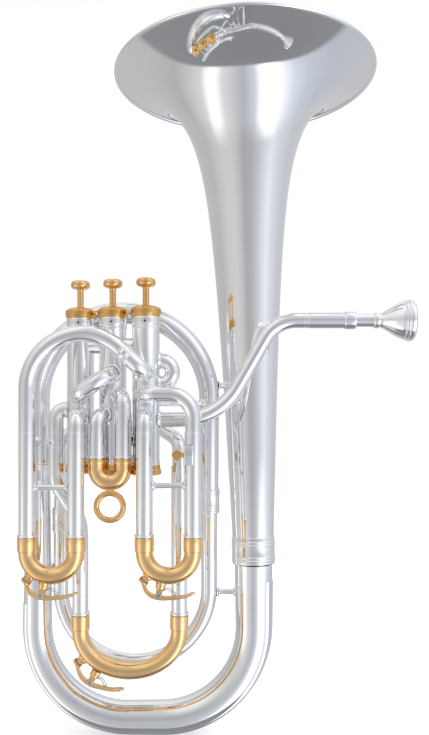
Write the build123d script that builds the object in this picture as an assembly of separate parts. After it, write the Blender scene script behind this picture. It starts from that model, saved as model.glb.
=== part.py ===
"""A three-valve compensating baritone horn with its mouthpiece, bell upwards.

Millimetres. +Z is up along the valves, +X runs from the valves towards the mouthpiece, and +Y
runs from the front slides towards the back. The origin is the lowest point of the bottom bow,
under the middle of its run and in its plane.
"""

import math
import os

from build123d import *

# Valves: three casings in a row that turns back from valve 1, the nearest to the front.
VALVE_1_X = -0.1
VALVE_1_Y = -40.0
VALVE_STEP_X = -29.0
VALVE_STEP_Y = 8.0
CASING_R = 11.4
CASING_BORE_R = 9.9
CASING_BOTTOM_Z = 240.6
CASING_TOP_Z = 372.6
CASING_BAND_R = 11.9
CASING_BAND_Z = (359.6, 369.1)
CAP_R = 12.9
TOP_CAP_Z = (369.1, 379.0)
BOTTOM_CAP_Z = (236.0, 244.0)
PISTON_R = 9.85
PISTON_Z = (262.0, 361.0)
STEM_R = 2.8
STEM_TOP_Z = 393.8
BUTTON_R = 8.2
BUTTON_TOP_Z = 401.8
STEM_GAP = 0.5
BOTTOM_CAP_FLOOR = 1.8
FELT_THICKNESS = 3.0
SPRING_R = 7.0
# Height of each port's middle and the direction it runs in, in degrees from +X.
PISTON_PORTS = ((284.0, 90), (305.0, 30), (328.0, -30))
PISTON_PORT_RISE = 4.0
PISTON_END = 1.5
PISTON_VENT_R = 4.0

# Tubing.
WALL = 0.8
TUBE_R = 6.3
ELBOW_R = 6.4
CROOK_2_R = 6.9
BORE_R = 5.5
LEG_R = 6.9
LEG_BORE_R = 6.2
INNER_LEG_R = 6.13
BOW_TUBE_R = 7.1
FERRULE_R = 8.0
SLIDE_2_FERRULE_R = 7.6
END_RING_R = 8.2
END_RING_LENGTH = 2.5
FRONT_FERRULE = 11.9
SLIDE_2_FERRULE = 5.6
MAIN_FERRULE = 13.2
SLIDE_GAP = 0.3
LEG_SEAT = 4.0

# The slides: x of the two legs, y of their plane, z of the seams, ring line and legs.
FRONT_Y = -60.0
SLIDE_3_X = (-95.8, -55.9)
SLIDE_1_X = (0.3, 40.2)
FRONT_SEAM_Z = 272.0
FRONT_RING_Z = 186.5
INNER_LEG_REACH = 72.0
SLIDE_2_Y = -50.5
SLIDE_2_X = (-40.3, -18.1)
SLIDE_2_SEAM_Z = (271.0, 288.0)
SLIDE_2_RING_Z = 250.5
MAIN_Y = -28.0
MAIN_X = (-57.6, 27.5)
MAIN_RING_Z = 114.5
MAIN_TOP_Z = (183.0, 242.0)

# Heights of the tube mouths on the casings.
LEADPIPE_Z = 282.3
CROOK_1_Z = (312.5, 332.0)
FRONT_PORT_Z = (286.0, 303.8, 322.0)
SLIDE_2_PORT_Z = (286.5, 303.0)
CROOK_1_REACH = 22.4
CROOK_2_Z = (321.0, 302.0)
CROOK_2_REACH = 25.0
EXIT_X = -79.2
EXIT_Z = 290.7
LINK_Z = (266.0, 345.0)

# The rear branch, in the plane y = 0.
BOW_X = (-100.4, 92.8)
BOW_CORNER_R = 81.6
BOW_BOTTOM_Z = 15.0
BOW_R = (10.9, 16.9)
GUARD_THICKNESS = 0.9
GUARD_HALF_ANGLE = 50
GUARD_ENDS_Z = (118.0, 138.0)
ARCH_X = (-100.4, 53.0)
ARCH_BASE_Z = 300.0
ARCH_R = (10.9, 8.2)
INNER_BOW_X = (-79.8, 53.0)
INNER_BOW_BASE_Z = 131.0
INNER_BOW_R = (6.4, 7.3)
RETURN_R = 6.0
LEFT_JOINT_Z = 232.0
RIGHT_JOINT_Z = 209.0
RETURN_JOINT_Z = 192.0

# The bell leans back and a little to the left.
BELL_BASE = Vector(92.8, 0, 152.8)
BELL_RIM = Vector(86.0, 31.0, 600.9)
BELL_RIM_R = 119.2
BELL_WALL = 0.8
BEAD_R = 1.6
BEAD_SIDES = 8
BELL_FERRULE_LENGTH = 24.0
BELL_FERRULE_R = 19.1
# Distance below the rim and outer radius, from the flare down to the throat.
BELL_THROAT_R = 16.45
BELL_TAPER = 0.0347
FLARE_START = 56.0
FLARE_POWER = 1.968
FLARE_STATIONS = (0, 3, 8, 15, 24, 36, 52, 75, 107, 150, 205, 270, 350)

# Leadpipe, receiver and mouthpiece, all at valve 1's distance from the front.
LEADPIPE_BEND_X = (61.4, 109.2)
LEADPIPE_BEND_R = (55.0, 30.5)
RECEIVER_Z = 366.1
RECEIVER_X = (136.8, 177.1)
RECEIVER_R = 6.6
SHANK_DEPTH = 24.0
SHANK_R = (4.8, 5.3)
SHANK_CLEARANCE = 0.08
PIPE_INSET = 4.0
MOUTHPIECE_END_X = 226.1
MOUTHPIECE_R = 17.5

# Braces: the heights at which they tie the tubes together.
BRACE_R = 2.4
PIPE_BRACE_R = 3.0
FLANGE_R = 4.2
FLANGE_THICKNESS = 1.4
SLIDE_1_BRACE_Z = 228.8
SLIDE_3_BRACE_Z = 227.2
BELL_BRACE_Z = 312.0
PIPE_BRACE = (88.0, 330.0)
CASING_BRACE_Z = 296.0
LEG_BRACE_Z = 262.0
BOW_BRACE_Z = (150.0, 127.3)

# The lyre box on the first slide's right leg, and its thumb screw.
LYRE_X = 37.0
LYRE_Z = (246.5, 262.5)
LYRE_SCREW_Z = 254.5
LYRE_SLOT = 4.8
LYRE_SIZE = LYRE_SLOT + 2.9
LYRE_Y = FRONT_Y - LEG_R - LYRE_SIZE / 2 + 0.4
LYRE_SCREW_R = 1.3
LYRE_COIN_R = 4.6
LYRE_COIN_THICKNESS = 1.8

# The finger ring under the second slide.
RING_Z = 210.2
RING_R = 11.2
RING_WIRE_R = 2.45

# Water keys: the nipple, the saddle and its pin, and the sprung lever with its cork.
NIPPLE_R = 3.0
NIPPLE_BORE_R = 1.4
NIPPLE_HEIGHT = 2.6
CORK_R = 4.0
CORK_THICKNESS = 1.9
KEY_CUP_R = 4.4
KEY_CUP_THICKNESS = 2.0
KEY_PIN_R = 1.1
KEY_HUB_R = 2.4
KEY_ARM_THICKNESS = 2.6
KEY_ARM_HALF_WIDTH = 2.2
KEY_ARM = ((-9.4, 2.2), (0.0, -2.4), (14.0, -3.6), (22.5, -2.4))
EAR_R = 2.5
EAR_Y = (2.7, 3.8)
SADDLE_R = 4.2
SADDLE_HEIGHT = 3.4

VALVES = {
    n: (VALVE_1_X + (n - 1) * VALVE_STEP_X, VALVE_1_Y + (n - 1) * VALVE_STEP_Y) for n in (1, 2, 3)
}
BELL_LENGTH = (BELL_RIM - BELL_BASE).length
BELL_AXIS = (BELL_RIM - BELL_BASE).normalized()
BELL_PLANE = Plane(origin=BELL_BASE, x_dir=(1, 0, 0.0168), z_dir=BELL_AXIS)
nodes = {}


def rod(start, end, radius, bore=0.0):
    """A straight rod, or a sleeve if it has a bore, between two points."""
    start, end = Vector(*start), Vector(*end)
    plane = Plane(origin=start, z_dir=end - start)
    section = plane * Circle(radius)
    if bore:
        section -= plane * Circle(bore)
    return extrude(section, (end - start).length, dir=(end - start).normalized())


def bent_rod(points, radii, radius, bore=0.0):
    """A rod or tube along straight runs joined by tangent arcs, one radius for each corner."""
    path = FilletPolyline(*points, radius=radii)
    plane = Plane(origin=path @ 0, z_dir=path % 0)
    section = plane * Circle(radius)
    if bore:
        section -= plane * Circle(bore)
    return sweep(section, path=path)


def turned(profile, plane):
    """A solid of revolution about the plane's normal, from (radius, height) points."""
    outline = make_face(Polyline(*[(r, 0, z) for r, z in profile], close=True))
    return plane * revolve(outline, axis=Axis.Z)


def at(x, y, z=0.0):
    """A level plane at a point."""
    return Plane(origin=(x, y, z), x_dir=(1, 0, 0), z_dir=(0, 0, 1))


def ring(plane, radius, bore, low, high):
    """A plain ring between two heights along the plane's normal."""
    return turned([(bore, low), (radius, low), (radius, high), (bore, high)], plane)


def casing_block(valve):
    """The space that a valve casing fills, which tubes and braces stop at."""
    x, y = VALVES[valve]
    return rod((x, y, CASING_BOTTOM_Z), (x, y, CASING_TOP_Z), CASING_R)


# The rear branch: cones swept along runs and arcs in the plane y = 0.


def u_path(xs, tops, turn_z, corner_r):
    """A U-shaped run, upright or upside down, from its first leg's end to its second's."""
    points = [(xs[0], tops[0]), (xs[0], turn_z), (xs[1], turn_z), (xs[1], tops[1])]
    return FilletPolyline(*[(x, 0, z) for x, z in points], radius=[corner_r, corner_r])


def section_plane(path, share):
    """A plane square to the run, with its x axis across the plane of the run."""
    return Plane(origin=path @ share, x_dir=(0, 1, 0), z_dir=path % share)


def cone_along(path, radii, grow=0.0):
    """A full cone along a run."""
    ends = [section_plane(path, i) * Circle(radii[i] + grow) for i in (0, 1)]
    return sweep(ends, path=path, multisection=True)


def branch(path, radii):
    """A hollow conical branch."""
    return cone_along(path, radii) - cone_along(path, radii, grow=-WALL)


def half_round(xs):
    """The radius of a bend that just fills the space between two legs."""
    return abs(xs[1] - xs[0]) / 2 - 0.05


bow_path = u_path(BOW_X, (LEFT_JOINT_Z, BELL_BASE.Z), BOW_BOTTOM_Z, BOW_CORNER_R)
arch_crest = ARCH_BASE_Z + half_round(ARCH_X)
arch_path = u_path(ARCH_X, (LEFT_JOINT_Z, RIGHT_JOINT_Z), arch_crest, half_round(ARCH_X))
inner_low = INNER_BOW_BASE_Z - half_round(INNER_BOW_X)
inner_path = u_path(
    INNER_BOW_X, (RETURN_JOINT_Z, RIGHT_JOINT_Z), inner_low, half_round(INNER_BOW_X)
)
bow_solid = cone_along(bow_path, BOW_R)
arch_solid = cone_along(arch_path, ARCH_R)
inner_solid = cone_along(inner_path, INNER_BOW_R)
nodes["bottom_bow"] = branch(bow_path, BOW_R)
nodes["rear_arch"] = branch(arch_path, ARCH_R)
nodes["inner_bow"] = branch(inner_path, INNER_BOW_R)


def bottom_bow_guard():
    """The strip soldered along the outer side of the bottom bow, from leg to leg."""
    path = u_path(BOW_X, GUARD_ENDS_Z, BOW_BOTTOM_Z, BOW_CORNER_R)
    growth = (BOW_R[1] - BOW_R[0]) / bow_path.length
    first = BOW_R[0] + growth * (LEFT_JOINT_Z - GUARD_ENDS_Z[0])
    sections = []
    for share, inner in ((0, first), (1, first + growth * path.length)):
        outer = inner + GUARD_THICKNESS
        a = math.radians(GUARD_HALF_ANGLE)
        across, down = math.sin(a), -math.cos(a)
        low = ThreePointArc(
            (-inner * across, inner * down), (0, -inner), (inner * across, inner * down)
        )
        high = ThreePointArc(
            (outer * across, outer * down), (0, -outer), (-outer * across, outer * down)
        )
        face = make_face(low + Line(low @ 1, high @ 0) + high + Line(high @ 1, low @ 0))
        sections.append(section_plane(path, share) * face)
    return sweep(sections, path=path, multisection=True)


nodes["bottom_bow_guard"] = bottom_bow_guard()


# The bell.


def bell_radius(h):
    """The bell's outer radius below its rim: a slight taper and a flare by a power law."""
    growth = BELL_RIM_R - BELL_THROAT_R - BELL_TAPER * BELL_LENGTH
    flare = growth * (1 + h / FLARE_START) ** -FLARE_POWER
    return BELL_THROAT_R + BELL_TAPER * (BELL_LENGTH - h) + flare


def bell_profile(offset=0.0):
    """The flare's curve in the bell's own upright frame, moved inwards by a wall."""
    stations = (*FLARE_STATIONS, BELL_LENGTH)
    return Spline(*[(bell_radius(h) - offset, 0, BELL_LENGTH - h) for h in stations])


def bell_solid():
    """The bell as a full body, which braces and its ferrule stop at."""
    curve = bell_profile()
    rim, base = curve @ 0, curve @ 1
    edge = Polyline(base, (0, 0, base.Z), (0, 0, rim.Z), rim)
    return BELL_PLANE * revolve(make_face(curve + edge), axis=Axis.Z)


def bell():
    """The spun bell wall."""
    outer, inner = bell_profile(), bell_profile(BELL_WALL)
    wall = make_face(outer + inner + Line(outer @ 0, inner @ 0) + Line(outer @ 1, inner @ 1))
    return BELL_PLANE * revolve(wall, axis=Axis.Z)


bell_body = bell_solid()
nodes["bell"] = bell()
nodes["bottom_bow"] -= bell_body


def bell_rim_bead():
    """The bead round the bell's edge: a many-sided ring that stands on the rim."""
    middle = (BELL_RIM_R + BEAD_R * math.cos(math.pi / BEAD_SIDES), BELL_LENGTH)
    outline = []
    for side in range(BEAD_SIDES):
        a = 2 * math.pi * (side + 0.5) / BEAD_SIDES
        outline.append((middle[0] + BEAD_R * math.cos(a), middle[1] + BEAD_R * math.sin(a)))
    return turned(outline, BELL_PLANE)


nodes["bell_rim_bead"] = bell_rim_bead()


def sleeve(plane, radius, length, bore):
    """A ferrule: a sleeve with a raised bead near each end."""
    bead, inset = radius + 0.7, length * 0.16
    profile = [(bore, 0), (radius - 0.5, 0), (radius, 1), (radius, inset)]
    profile += [(bead, inset + 0.8), (bead, inset + 1.6), (radius, inset + 2.4)]
    mirrored = [(r, length - z) for r, z in reversed(profile)]
    return turned(profile + mirrored, plane)


nodes["bell_ferrule"] = (
    sleeve(BELL_PLANE, BELL_FERRULE_R, BELL_FERRULE_LENGTH, BOW_R[0]) - bell_body - bow_solid
)


FERRULE_WALL = 0.9
SLEEVE_LENGTH = 22.0


def bow_ferrules():
    """The sleeves that join the bottom bow, rear arch, inner bow and return tube."""
    joints = [
        (BOW_X[0], LEFT_JOINT_Z, BOW_R[0], bow_solid + arch_solid),
        (ARCH_X[1], RIGHT_JOINT_Z, ARCH_R[1], arch_solid + inner_solid),
        (INNER_BOW_X[0], RETURN_JOINT_Z, INNER_BOW_R[0], inner_solid),
    ]
    made = []
    for x, z, radius, filled in joints:
        plane = at(x, 0, z - SLEEVE_LENGTH / 2)
        made.append(sleeve(plane, radius + FERRULE_WALL, SLEEVE_LENGTH, radius - 2) - filled)
    return made


ferrules = bow_ferrules()


# Valves.


def valve_casing(valve, mouths):
    """A valve casing with its top band and the holes that its tubes open into."""
    x, y = VALVES[valve]
    body = ring(at(x, y), CASING_R, CASING_BORE_R, CASING_BOTTOM_Z, CASING_TOP_Z)
    body += ring(at(x, y), CASING_BAND_R, CASING_R - 0.1, *CASING_BAND_Z)
    for way_x, way_y, z in mouths:
        body -= rod((x, y, z), (x + way_x, y + way_y, z), BORE_R)
    return body


def top_cap(valve):
    """The domed and knurled cap that screws on the casing and guides the stem."""
    low, high = TOP_CAP_Z
    hole = STEM_R + STEM_GAP
    profile = [
        (CASING_R, low),
        (CAP_R - 0.8, low),
        (CAP_R - 0.6, low + 1.4),
        (CAP_R, low + 2.2),
        (CAP_R, high - 3.4),
        (CAP_R - 1.6, high - 2.2),
        (STEM_R + 3, high),
        (hole, high),
        (hole, CASING_TOP_Z),
        (CASING_R, CASING_TOP_Z),
    ]
    return turned(profile, at(*VALVES[valve]))


def bottom_cap(valve):
    """The knurled cap that closes the casing and carries the piston spring."""
    low, high = BOTTOM_CAP_Z
    profile = [
        (0, low),
        (CAP_R - 1.2, low),
        (CAP_R, low + 1),
        (CAP_R, low + 4.2),
        (CASING_R + 1.1, low + 5),
        (CASING_R + 1.1, high),
        (CASING_R, high),
        (CASING_R, CASING_BOTTOM_Z),
        (CASING_BORE_R - 0.4, CASING_BOTTOM_Z),
        (CASING_BORE_R - 0.4, low + BOTTOM_CAP_FLOOR),
        (0, low + BOTTOM_CAP_FLOOR),
    ]
    return turned(profile, at(*VALVES[valve]))


def piston(valve):
    """A hollow piston, open below, with three slanted port tubes through it."""
    x, y = VALVES[valve]
    low, high = PISTON_Z
    full = rod((x, y, low), (x, y, high), PISTON_R)
    body = full - rod((x, y, low), (x, y, high - PISTON_END), PISTON_R - WALL)
    body += ring(at(x, y), PISTON_R - WALL / 2, PISTON_VENT_R, low, low + PISTON_END)
    bores = []
    for z, turn in PISTON_PORTS:
        dx, dy = math.cos(math.radians(turn)), math.sin(math.radians(turn))
        reach = 2 * PISTON_R
        start = (x - reach * dx, y - reach * dy, z - PISTON_PORT_RISE)
        end = (x + reach * dx, y + reach * dy, z + PISTON_PORT_RISE)
        body += rod(start, end, BORE_R + WALL) & full
        bores.append(rod(start, end, BORE_R))
    for bore in bores:
        body -= bore
    return body


def button(valve):
    """A finger button: a shallow dish on a flared neck."""
    top = BUTTON_TOP_Z
    profile = [
        (0, STEM_TOP_Z),
        (STEM_R + 0.5, STEM_TOP_Z),
        (STEM_R + 1.2, STEM_TOP_Z + 2.4),
        (BUTTON_R - 2.6, top - 3.6),
        (BUTTON_R - 0.3, top - 3.2),
        (BUTTON_R, top - 2.2),
        (BUTTON_R - 0.2, top - 0.6),
        (BUTTON_R - 1.0, top),
        (BUTTON_R - 2.2, top - 0.4),
        (0, top - 0.9),
    ]
    return turned(profile, at(*VALVES[valve]))


SIDE_LEFT, SIDE_RIGHT, FRONT = (-20, 0), (20, 0), (0, -20)
NEXT_VALVE = (VALVE_STEP_X, VALVE_STEP_Y)
LAST_VALVE = (-VALVE_STEP_X, -VALVE_STEP_Y)
slide_2_ways = [(x - VALVES[2][0], SLIDE_2_Y - VALVES[2][1]) for x in SLIDE_2_X]
MOUTHS = {
    1: [(*SIDE_RIGHT, LEADPIPE_Z)]
    + [(*SIDE_RIGHT, z) for z in CROOK_1_Z]
    + [(*FRONT, z) for z in FRONT_PORT_Z]
    + [(*NEXT_VALVE, z) for z in LINK_Z],
    2: [(*way, z) for way, z in zip(slide_2_ways, SLIDE_2_PORT_Z)]
    + [(*FRONT, CROOK_2_Z[0])]
    + [(*side, z) for side in (NEXT_VALVE, LAST_VALVE) for z in LINK_Z],
    3: [(*SIDE_LEFT, EXIT_Z), (*FRONT, FRONT_PORT_Z[0]), (*FRONT, CROOK_2_Z[1])]
    + [(*LAST_VALVE, z) for z in LINK_Z],
}
blocks = {valve: casing_block(valve) for valve in VALVES}
felts = []
for valve, (x, y) in VALVES.items():
    nodes[f"valve_{valve}_casing"] = valve_casing(valve, MOUTHS[valve])
    nodes[f"piston_{valve}"] = piston(valve)
    nodes[f"piston_stem_{valve}"] = rod((x, y, PISTON_Z[1]), (x, y, STEM_TOP_Z), STEM_R)
    nodes[f"finger_button_{valve}"] = button(valve)
    spring_low = BOTTOM_CAP_Z[0] + BOTTOM_CAP_FLOOR
    nodes[f"piston_spring_{valve}"] = ring(
        at(x, y), SPRING_R, SPRING_R - 1, spring_low, PISTON_Z[0]
    )
    felt_low = CASING_TOP_Z - FELT_THICKNESS
    felts.append(
        ring(at(x, y), CASING_BORE_R - 0.3, STEM_R + STEM_GAP, felt_low, CASING_TOP_Z)
    )
nodes["top_valve_caps"] = [top_cap(valve) for valve in VALVES]
nodes["bottom_valve_caps"] = [bottom_cap(valve) for valve in VALVES]
nodes["valve_felts"] = felts
nodes["valve_link_tubes"] = [
    rod((*VALVES[v], z), (*VALVES[v + 1], z), TUBE_R, BORE_R) - blocks[v] - blocks[v + 1]
    for v in (1, 2)
    for z in LINK_Z
]


# Tubes between the valves and the slides.


ARCH_TURN = (-33.0, FRONT_Y, 353.3)
ARCH_END = (VALVE_1_X, FRONT_Y, FRONT_PORT_Z[2])


def front_arch():
    """The large arch from the third slide's left leg over to the front of valve 1."""
    x = SLIDE_3_X[0]
    points = [
        (x, FRONT_Y, FRONT_SEAM_Z),
        (x, FRONT_Y, ARCH_TURN[2]),
        ARCH_TURN,
        ARCH_END,
        (*VALVES[1], FRONT_PORT_Z[2]),
    ]
    return bent_rod(points, [45.5, 42, 10], LEG_R, BORE_R) - blocks[1]


nodes["front_arch"] = front_arch()


def front_arch_ferrule():
    """The sleeve on the arch's straight run above the valves."""
    end = Vector(*ARCH_END)
    way = (end - Vector(*ARCH_TURN)).normalized()
    plane = Plane(origin=end - way * 27, x_dir=(0, 1, 0), z_dir=way)
    return sleeve(plane, LEG_R + 0.6, 10, LEG_R)


nodes["front_arch_ferrule"] = front_arch_ferrule()


def slide_elbow(x, y, seam_z, port_z, valve, corner=9.0):
    """The bend from a slide's leg back into a valve casing."""
    points = [(x, y, seam_z), (x, y, port_z), (*VALVES[valve], port_z)]
    return bent_rod(points, [corner], ELBOW_R, BORE_R) - blocks[valve]


def slide_elbows():
    """The bends at the top of the first, second and third slides' legs."""
    right, port = SLIDE_1_X[1], FRONT_PORT_Z[1]
    points = [
        (right, FRONT_Y, FRONT_SEAM_Z),
        (right, FRONT_Y, port),
        (VALVE_1_X, FRONT_Y, port),
        (*VALVES[1], port),
    ]
    made = [bent_rod(points, [20, 9], ELBOW_R, BORE_R) - blocks[1]]
    made.append(slide_elbow(SLIDE_1_X[0], FRONT_Y, FRONT_SEAM_Z, FRONT_PORT_Z[0], 1))
    made.append(slide_elbow(SLIDE_3_X[1], FRONT_Y, FRONT_SEAM_Z, FRONT_PORT_Z[0], 3))
    for x, seam, port in zip(SLIDE_2_X, SLIDE_2_SEAM_Z, SLIDE_2_PORT_Z):
        made.append(slide_elbow(x, SLIDE_2_Y, seam, port, 2))
    return made


nodes["slide_elbows"] = slide_elbows()


def crook_1():
    """The small U-shaped compensating crook beside valve 1."""
    low, high = CROOK_1_Z
    x, y = VALVES[1]
    far = x + CROOK_1_REACH
    points = [(x, y, low), (far, y, low), (far, y, high), (x, y, high)]
    return bent_rod(points, [half_round(CROOK_1_Z)] * 2, TUBE_R, BORE_R) - blocks[1]


def crook_2():
    """The short compensating crook across the front from valve 2 to valve 3."""
    (right, right_y), (left, left_y) = VALVES[2], VALVES[3]
    points = [
        (right, right_y, CROOK_2_Z[0]),
        (right, right_y - CROOK_2_REACH, CROOK_2_Z[0]),
        (left, left_y - CROOK_2_REACH, CROOK_2_Z[1]),
        (left, left_y, CROOK_2_Z[1]),
    ]
    return bent_rod(points, [14, 14], CROOK_2_R, BORE_R) - blocks[2] - blocks[3]


nodes["valve_1_crook"] = crook_1()
nodes["valve_2_crook"] = crook_2()


def exit_tube():
    """The tube from valve 3 round an elbow and an S-bend to the main slide's left leg."""
    x, y = VALVES[3]
    points = [
        (x, y, EXIT_Z),
        (EXIT_X, y, EXIT_Z),
        (EXIT_X, y, 226),
        (MAIN_X[0], MAIN_Y, 195),
        (MAIN_X[0], MAIN_Y, MAIN_TOP_Z[0]),
    ]
    return bent_rod(points, [8.5, 28, 28], TUBE_R + 0.2, BORE_R) - blocks[3]


def return_tube():
    """The tube from the main slide's right leg, behind the valves, to the inner bow."""
    points = [
        (MAIN_X[1], MAIN_Y, MAIN_TOP_Z[1]),
        (MAIN_X[1], MAIN_Y, 264),
        (6, -3, 276),
        (INNER_BOW_X[0], 0, 273),
        (INNER_BOW_X[0], 0, RETURN_JOINT_Z),
    ]
    return bent_rod(points, [13, 20, 22], RETURN_R, RETURN_R - WALL)


nodes["valve_3_exit_tube"] = exit_tube()
nodes["return_tube"] = return_tube()
return_leg = rod(
    (INNER_BOW_X[0], 0, RETURN_JOINT_Z), (INNER_BOW_X[0], 0, RETURN_JOINT_Z + 40), RETURN_R
)
ferrules[2] -= return_leg
nodes["bow_ferrules"] = ferrules


# Slides.


def outer_legs(xs, y, low, tops):
    """The two fixed legs of a slide."""
    return [rod((x, y, low), (x, y, top), LEG_R, LEG_BORE_R) for x, top in zip(xs, tops)]


def end_rings(xs, y, low):
    """The rings that stiffen the open ends of a slide's fixed legs."""
    return [ring(at(x, y, low), END_RING_R, LEG_R, 0, END_RING_LENGTH) for x in xs]


def inner_legs(xs, y, low, reaches):
    """The two moving legs of a slide."""
    return [
        rod((x, y, low), (x, y, low + reach), INNER_LEG_R, BORE_R)
        for x, reach in zip(xs, reaches)
    ]


def slide_bow(xs, y, low, ferrule_r, ferrule, straight, depth):
    """A slide's bow and its two ferrules; the bend starts below a straight run of its ends."""
    left, right = xs
    top = low - SLIDE_GAP
    bottom = top - straight - depth
    points = [(left, y, low), (left, y, bottom), (right, y, bottom), (right, y, low)]
    solid = bent_rod(points, [depth - 0.05] * 2, BOW_TUBE_R, BORE_R)
    solid -= [rod((x, y, top), (x, y, low + 1), 2 * LEG_R) for x in xs]
    solid -= [rod((x, y, top - LEG_SEAT), (x, y, low), INNER_LEG_R) for x in xs]
    for x in xs:
        solid += ring(at(x, y, top - ferrule), ferrule_r, BOW_TUBE_R - 0.1, 0, ferrule)
    return solid


# Each slide: its two legs' x, its y, the height of its joint, the tops of its fixed legs, the
# reach of its moving legs, then its bow: ferrule radius and length, straight run, bend depth.
FRONT_TOPS = (FRONT_SEAM_Z, FRONT_SEAM_Z)
FRONT_REACH = (INNER_LEG_REACH, INNER_LEG_REACH)
FRONT_BOW = (FERRULE_R, FRONT_FERRULE, FRONT_FERRULE, 19.3)
SLIDES = {
    "slide_1": (SLIDE_1_X, FRONT_Y, FRONT_RING_Z, FRONT_TOPS, FRONT_REACH, FRONT_BOW),
    "slide_2": (
        SLIDE_2_X,
        SLIDE_2_Y,
        SLIDE_2_RING_Z,
        SLIDE_2_SEAM_Z,
        (20.0, 36.0),
        (SLIDE_2_FERRULE_R, SLIDE_2_FERRULE, 8.4, half_round(SLIDE_2_X)),
    ),
    "slide_3": (SLIDE_3_X, FRONT_Y, FRONT_RING_Z, FRONT_TOPS, FRONT_REACH, FRONT_BOW),
    "main_slide": (
        MAIN_X,
        MAIN_Y,
        MAIN_RING_Z,
        MAIN_TOP_Z,
        (68.0, INNER_LEG_REACH),
        (FERRULE_R, MAIN_FERRULE, MAIN_FERRULE, 35.1),
    ),
}
rings = []
for name, (xs, y, low, tops, reaches, bow) in SLIDES.items():
    nodes[f"{name}_outer_legs"] = outer_legs(xs, y, low, tops)
    rings += end_rings(xs, y, low)
    seat = SLIDE_GAP + LEG_SEAT
    nodes[f"{name}_inner_legs"] = inner_legs(xs, y, low - seat, [r + seat for r in reaches])
    nodes[f"{name}_bow"] = slide_bow(xs, y, low, *bow)
nodes["slide_end_rings"] = rings


def pull_ring():
    """The finger ring under the second slide's bow, with its short neck."""
    xs, y, low = SLIDE_2_X, SLIDE_2_Y, SLIDE_2_RING_Z
    middle = sum(xs) / 2
    hoop = Plane(origin=(middle, y, RING_Z), z_dir=(0, -1, 0)) * Torus(RING_R, RING_WIRE_R)
    straight, depth = SLIDES["slide_2"][5][2:]
    bow_low = low - SLIDE_GAP - straight - depth - BOW_TUBE_R
    neck = rod((middle, y, RING_Z + RING_R), (middle, y, bow_low + 2), RING_WIRE_R + 0.3)
    return (hoop + neck) - nodes["slide_2_bow"]


nodes["pull_ring"] = pull_ring()


# Leadpipe, receiver and mouthpiece.


def leadpipe():
    """The S-shaped pipe from the receiver, across the front of the bell, to valve 1."""
    x, y = VALVES[1]
    points = [
        (RECEIVER_X[0] + PIPE_INSET, y, RECEIVER_Z),
        (LEADPIPE_BEND_X[1], y, RECEIVER_Z),
        (LEADPIPE_BEND_X[0], y, LEADPIPE_Z),
        (x, y, LEADPIPE_Z),
    ]
    return bent_rod(points, LEADPIPE_BEND_R[::-1], TUBE_R, BORE_R) - blocks[1]


nodes["leadpipe"] = leadpipe()


def side_plane(x):
    """A plane square to the receiver's axis."""
    return Plane(origin=(x, VALVE_1_Y, RECEIVER_Z), x_dir=(0, 1, 0), z_dir=(1, 0, 0))


def receiver():
    """The mouthpiece receiver with its end ring and its slow inner taper."""
    length = RECEIVER_X[1] - RECEIVER_X[0]
    socket = length - SHANK_DEPTH
    profile = [
        (TUBE_R, 0),
        (RECEIVER_R, 0),
        (RECEIVER_R, length - 9.4),
        (RECEIVER_R + 0.9, length - 8),
        (RECEIVER_R + 0.9, length - 1),
        (RECEIVER_R + 0.4, length),
        (SHANK_R[1] + SHANK_CLEARANCE, length),
        (SHANK_R[0] + SHANK_CLEARANCE, socket),
        (SHANK_R[0] - 0.5, socket),
        (BORE_R, PIPE_INSET + 0.5),
        (BORE_R, PIPE_INSET),
        (TUBE_R, PIPE_INSET),
    ]
    return turned(profile, side_plane(RECEIVER_X[0]))


nodes["mouthpiece_receiver"] = receiver()


def mouthpiece():
    """A cup mouthpiece: shank, ringed throat, flared cup and broad rim."""
    start = RECEIVER_X[1] - SHANK_DEPTH + 0.5
    length = MOUTHPIECE_END_X - start
    outside = [
        (SHANK_R[0] - 0.5, 0),
        (SHANK_R[0], 0),
        (SHANK_R[1], SHANK_DEPTH),
        (5.5, length - 34),
        (6.6, length - 33),
        (6.6, length - 29.6),
        (5.9, length - 28.8),
        (8.2, length - 24),
        (12.2, length - 17),
        (15.2, length - 10.5),
        (MOUTHPIECE_R - 1.8, length - 8.4),
        (MOUTHPIECE_R - 0.5, length - 7.4),
        (MOUTHPIECE_R, length - 4.5),
        (MOUTHPIECE_R - 0.5, length - 1.6),
        (MOUTHPIECE_R - 2.2, length),
    ]
    inside = [
        (MOUTHPIECE_R - 3.7, length - 0.4),
        (12.6, length - 1.8),
        (12.0, length - 8),
        (9.6, length - 17),
        (5.6, length - 23),
        (3.4, length - 26),
        (3.4, length - 30),
    ]
    return turned(outside + inside, side_plane(start))


nodes["mouthpiece"] = mouthpiece()


# Braces and the lyre box.


def brace(start, end, blocked, radius=BRACE_R):
    """A plain brace, cut to the tubes that it joins."""
    start, end = Vector(*start), Vector(*end)
    bar = rod(start, end, radius)
    for solid in blocked:
        bar -= solid
    return bar


leg_blocks = {
    x: rod((x, FRONT_Y, FRONT_RING_Z), (x, FRONT_Y, FRONT_SEAM_Z), LEG_R)
    for x in SLIDE_1_X + SLIDE_3_X
}


def leg_brace(xs, z):
    """A brace between the two fixed legs of a front slide, with a foot on each leg."""
    left, right = xs
    start, end = (left + LEG_R - 1, FRONT_Y, z), (right - LEG_R + 1, FRONT_Y, z)
    bar = rod(start, end, BRACE_R)
    for x, way in ((left, 1), (right, -1)):
        foot = (x + way * (LEG_R - 1), FRONT_Y, z)
        far = (x + way * (LEG_R + FLANGE_THICKNESS), FRONT_Y, z)
        bar += rod(foot, far, FLANGE_R)
    return bar - leg_blocks[left] - leg_blocks[right]


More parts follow.
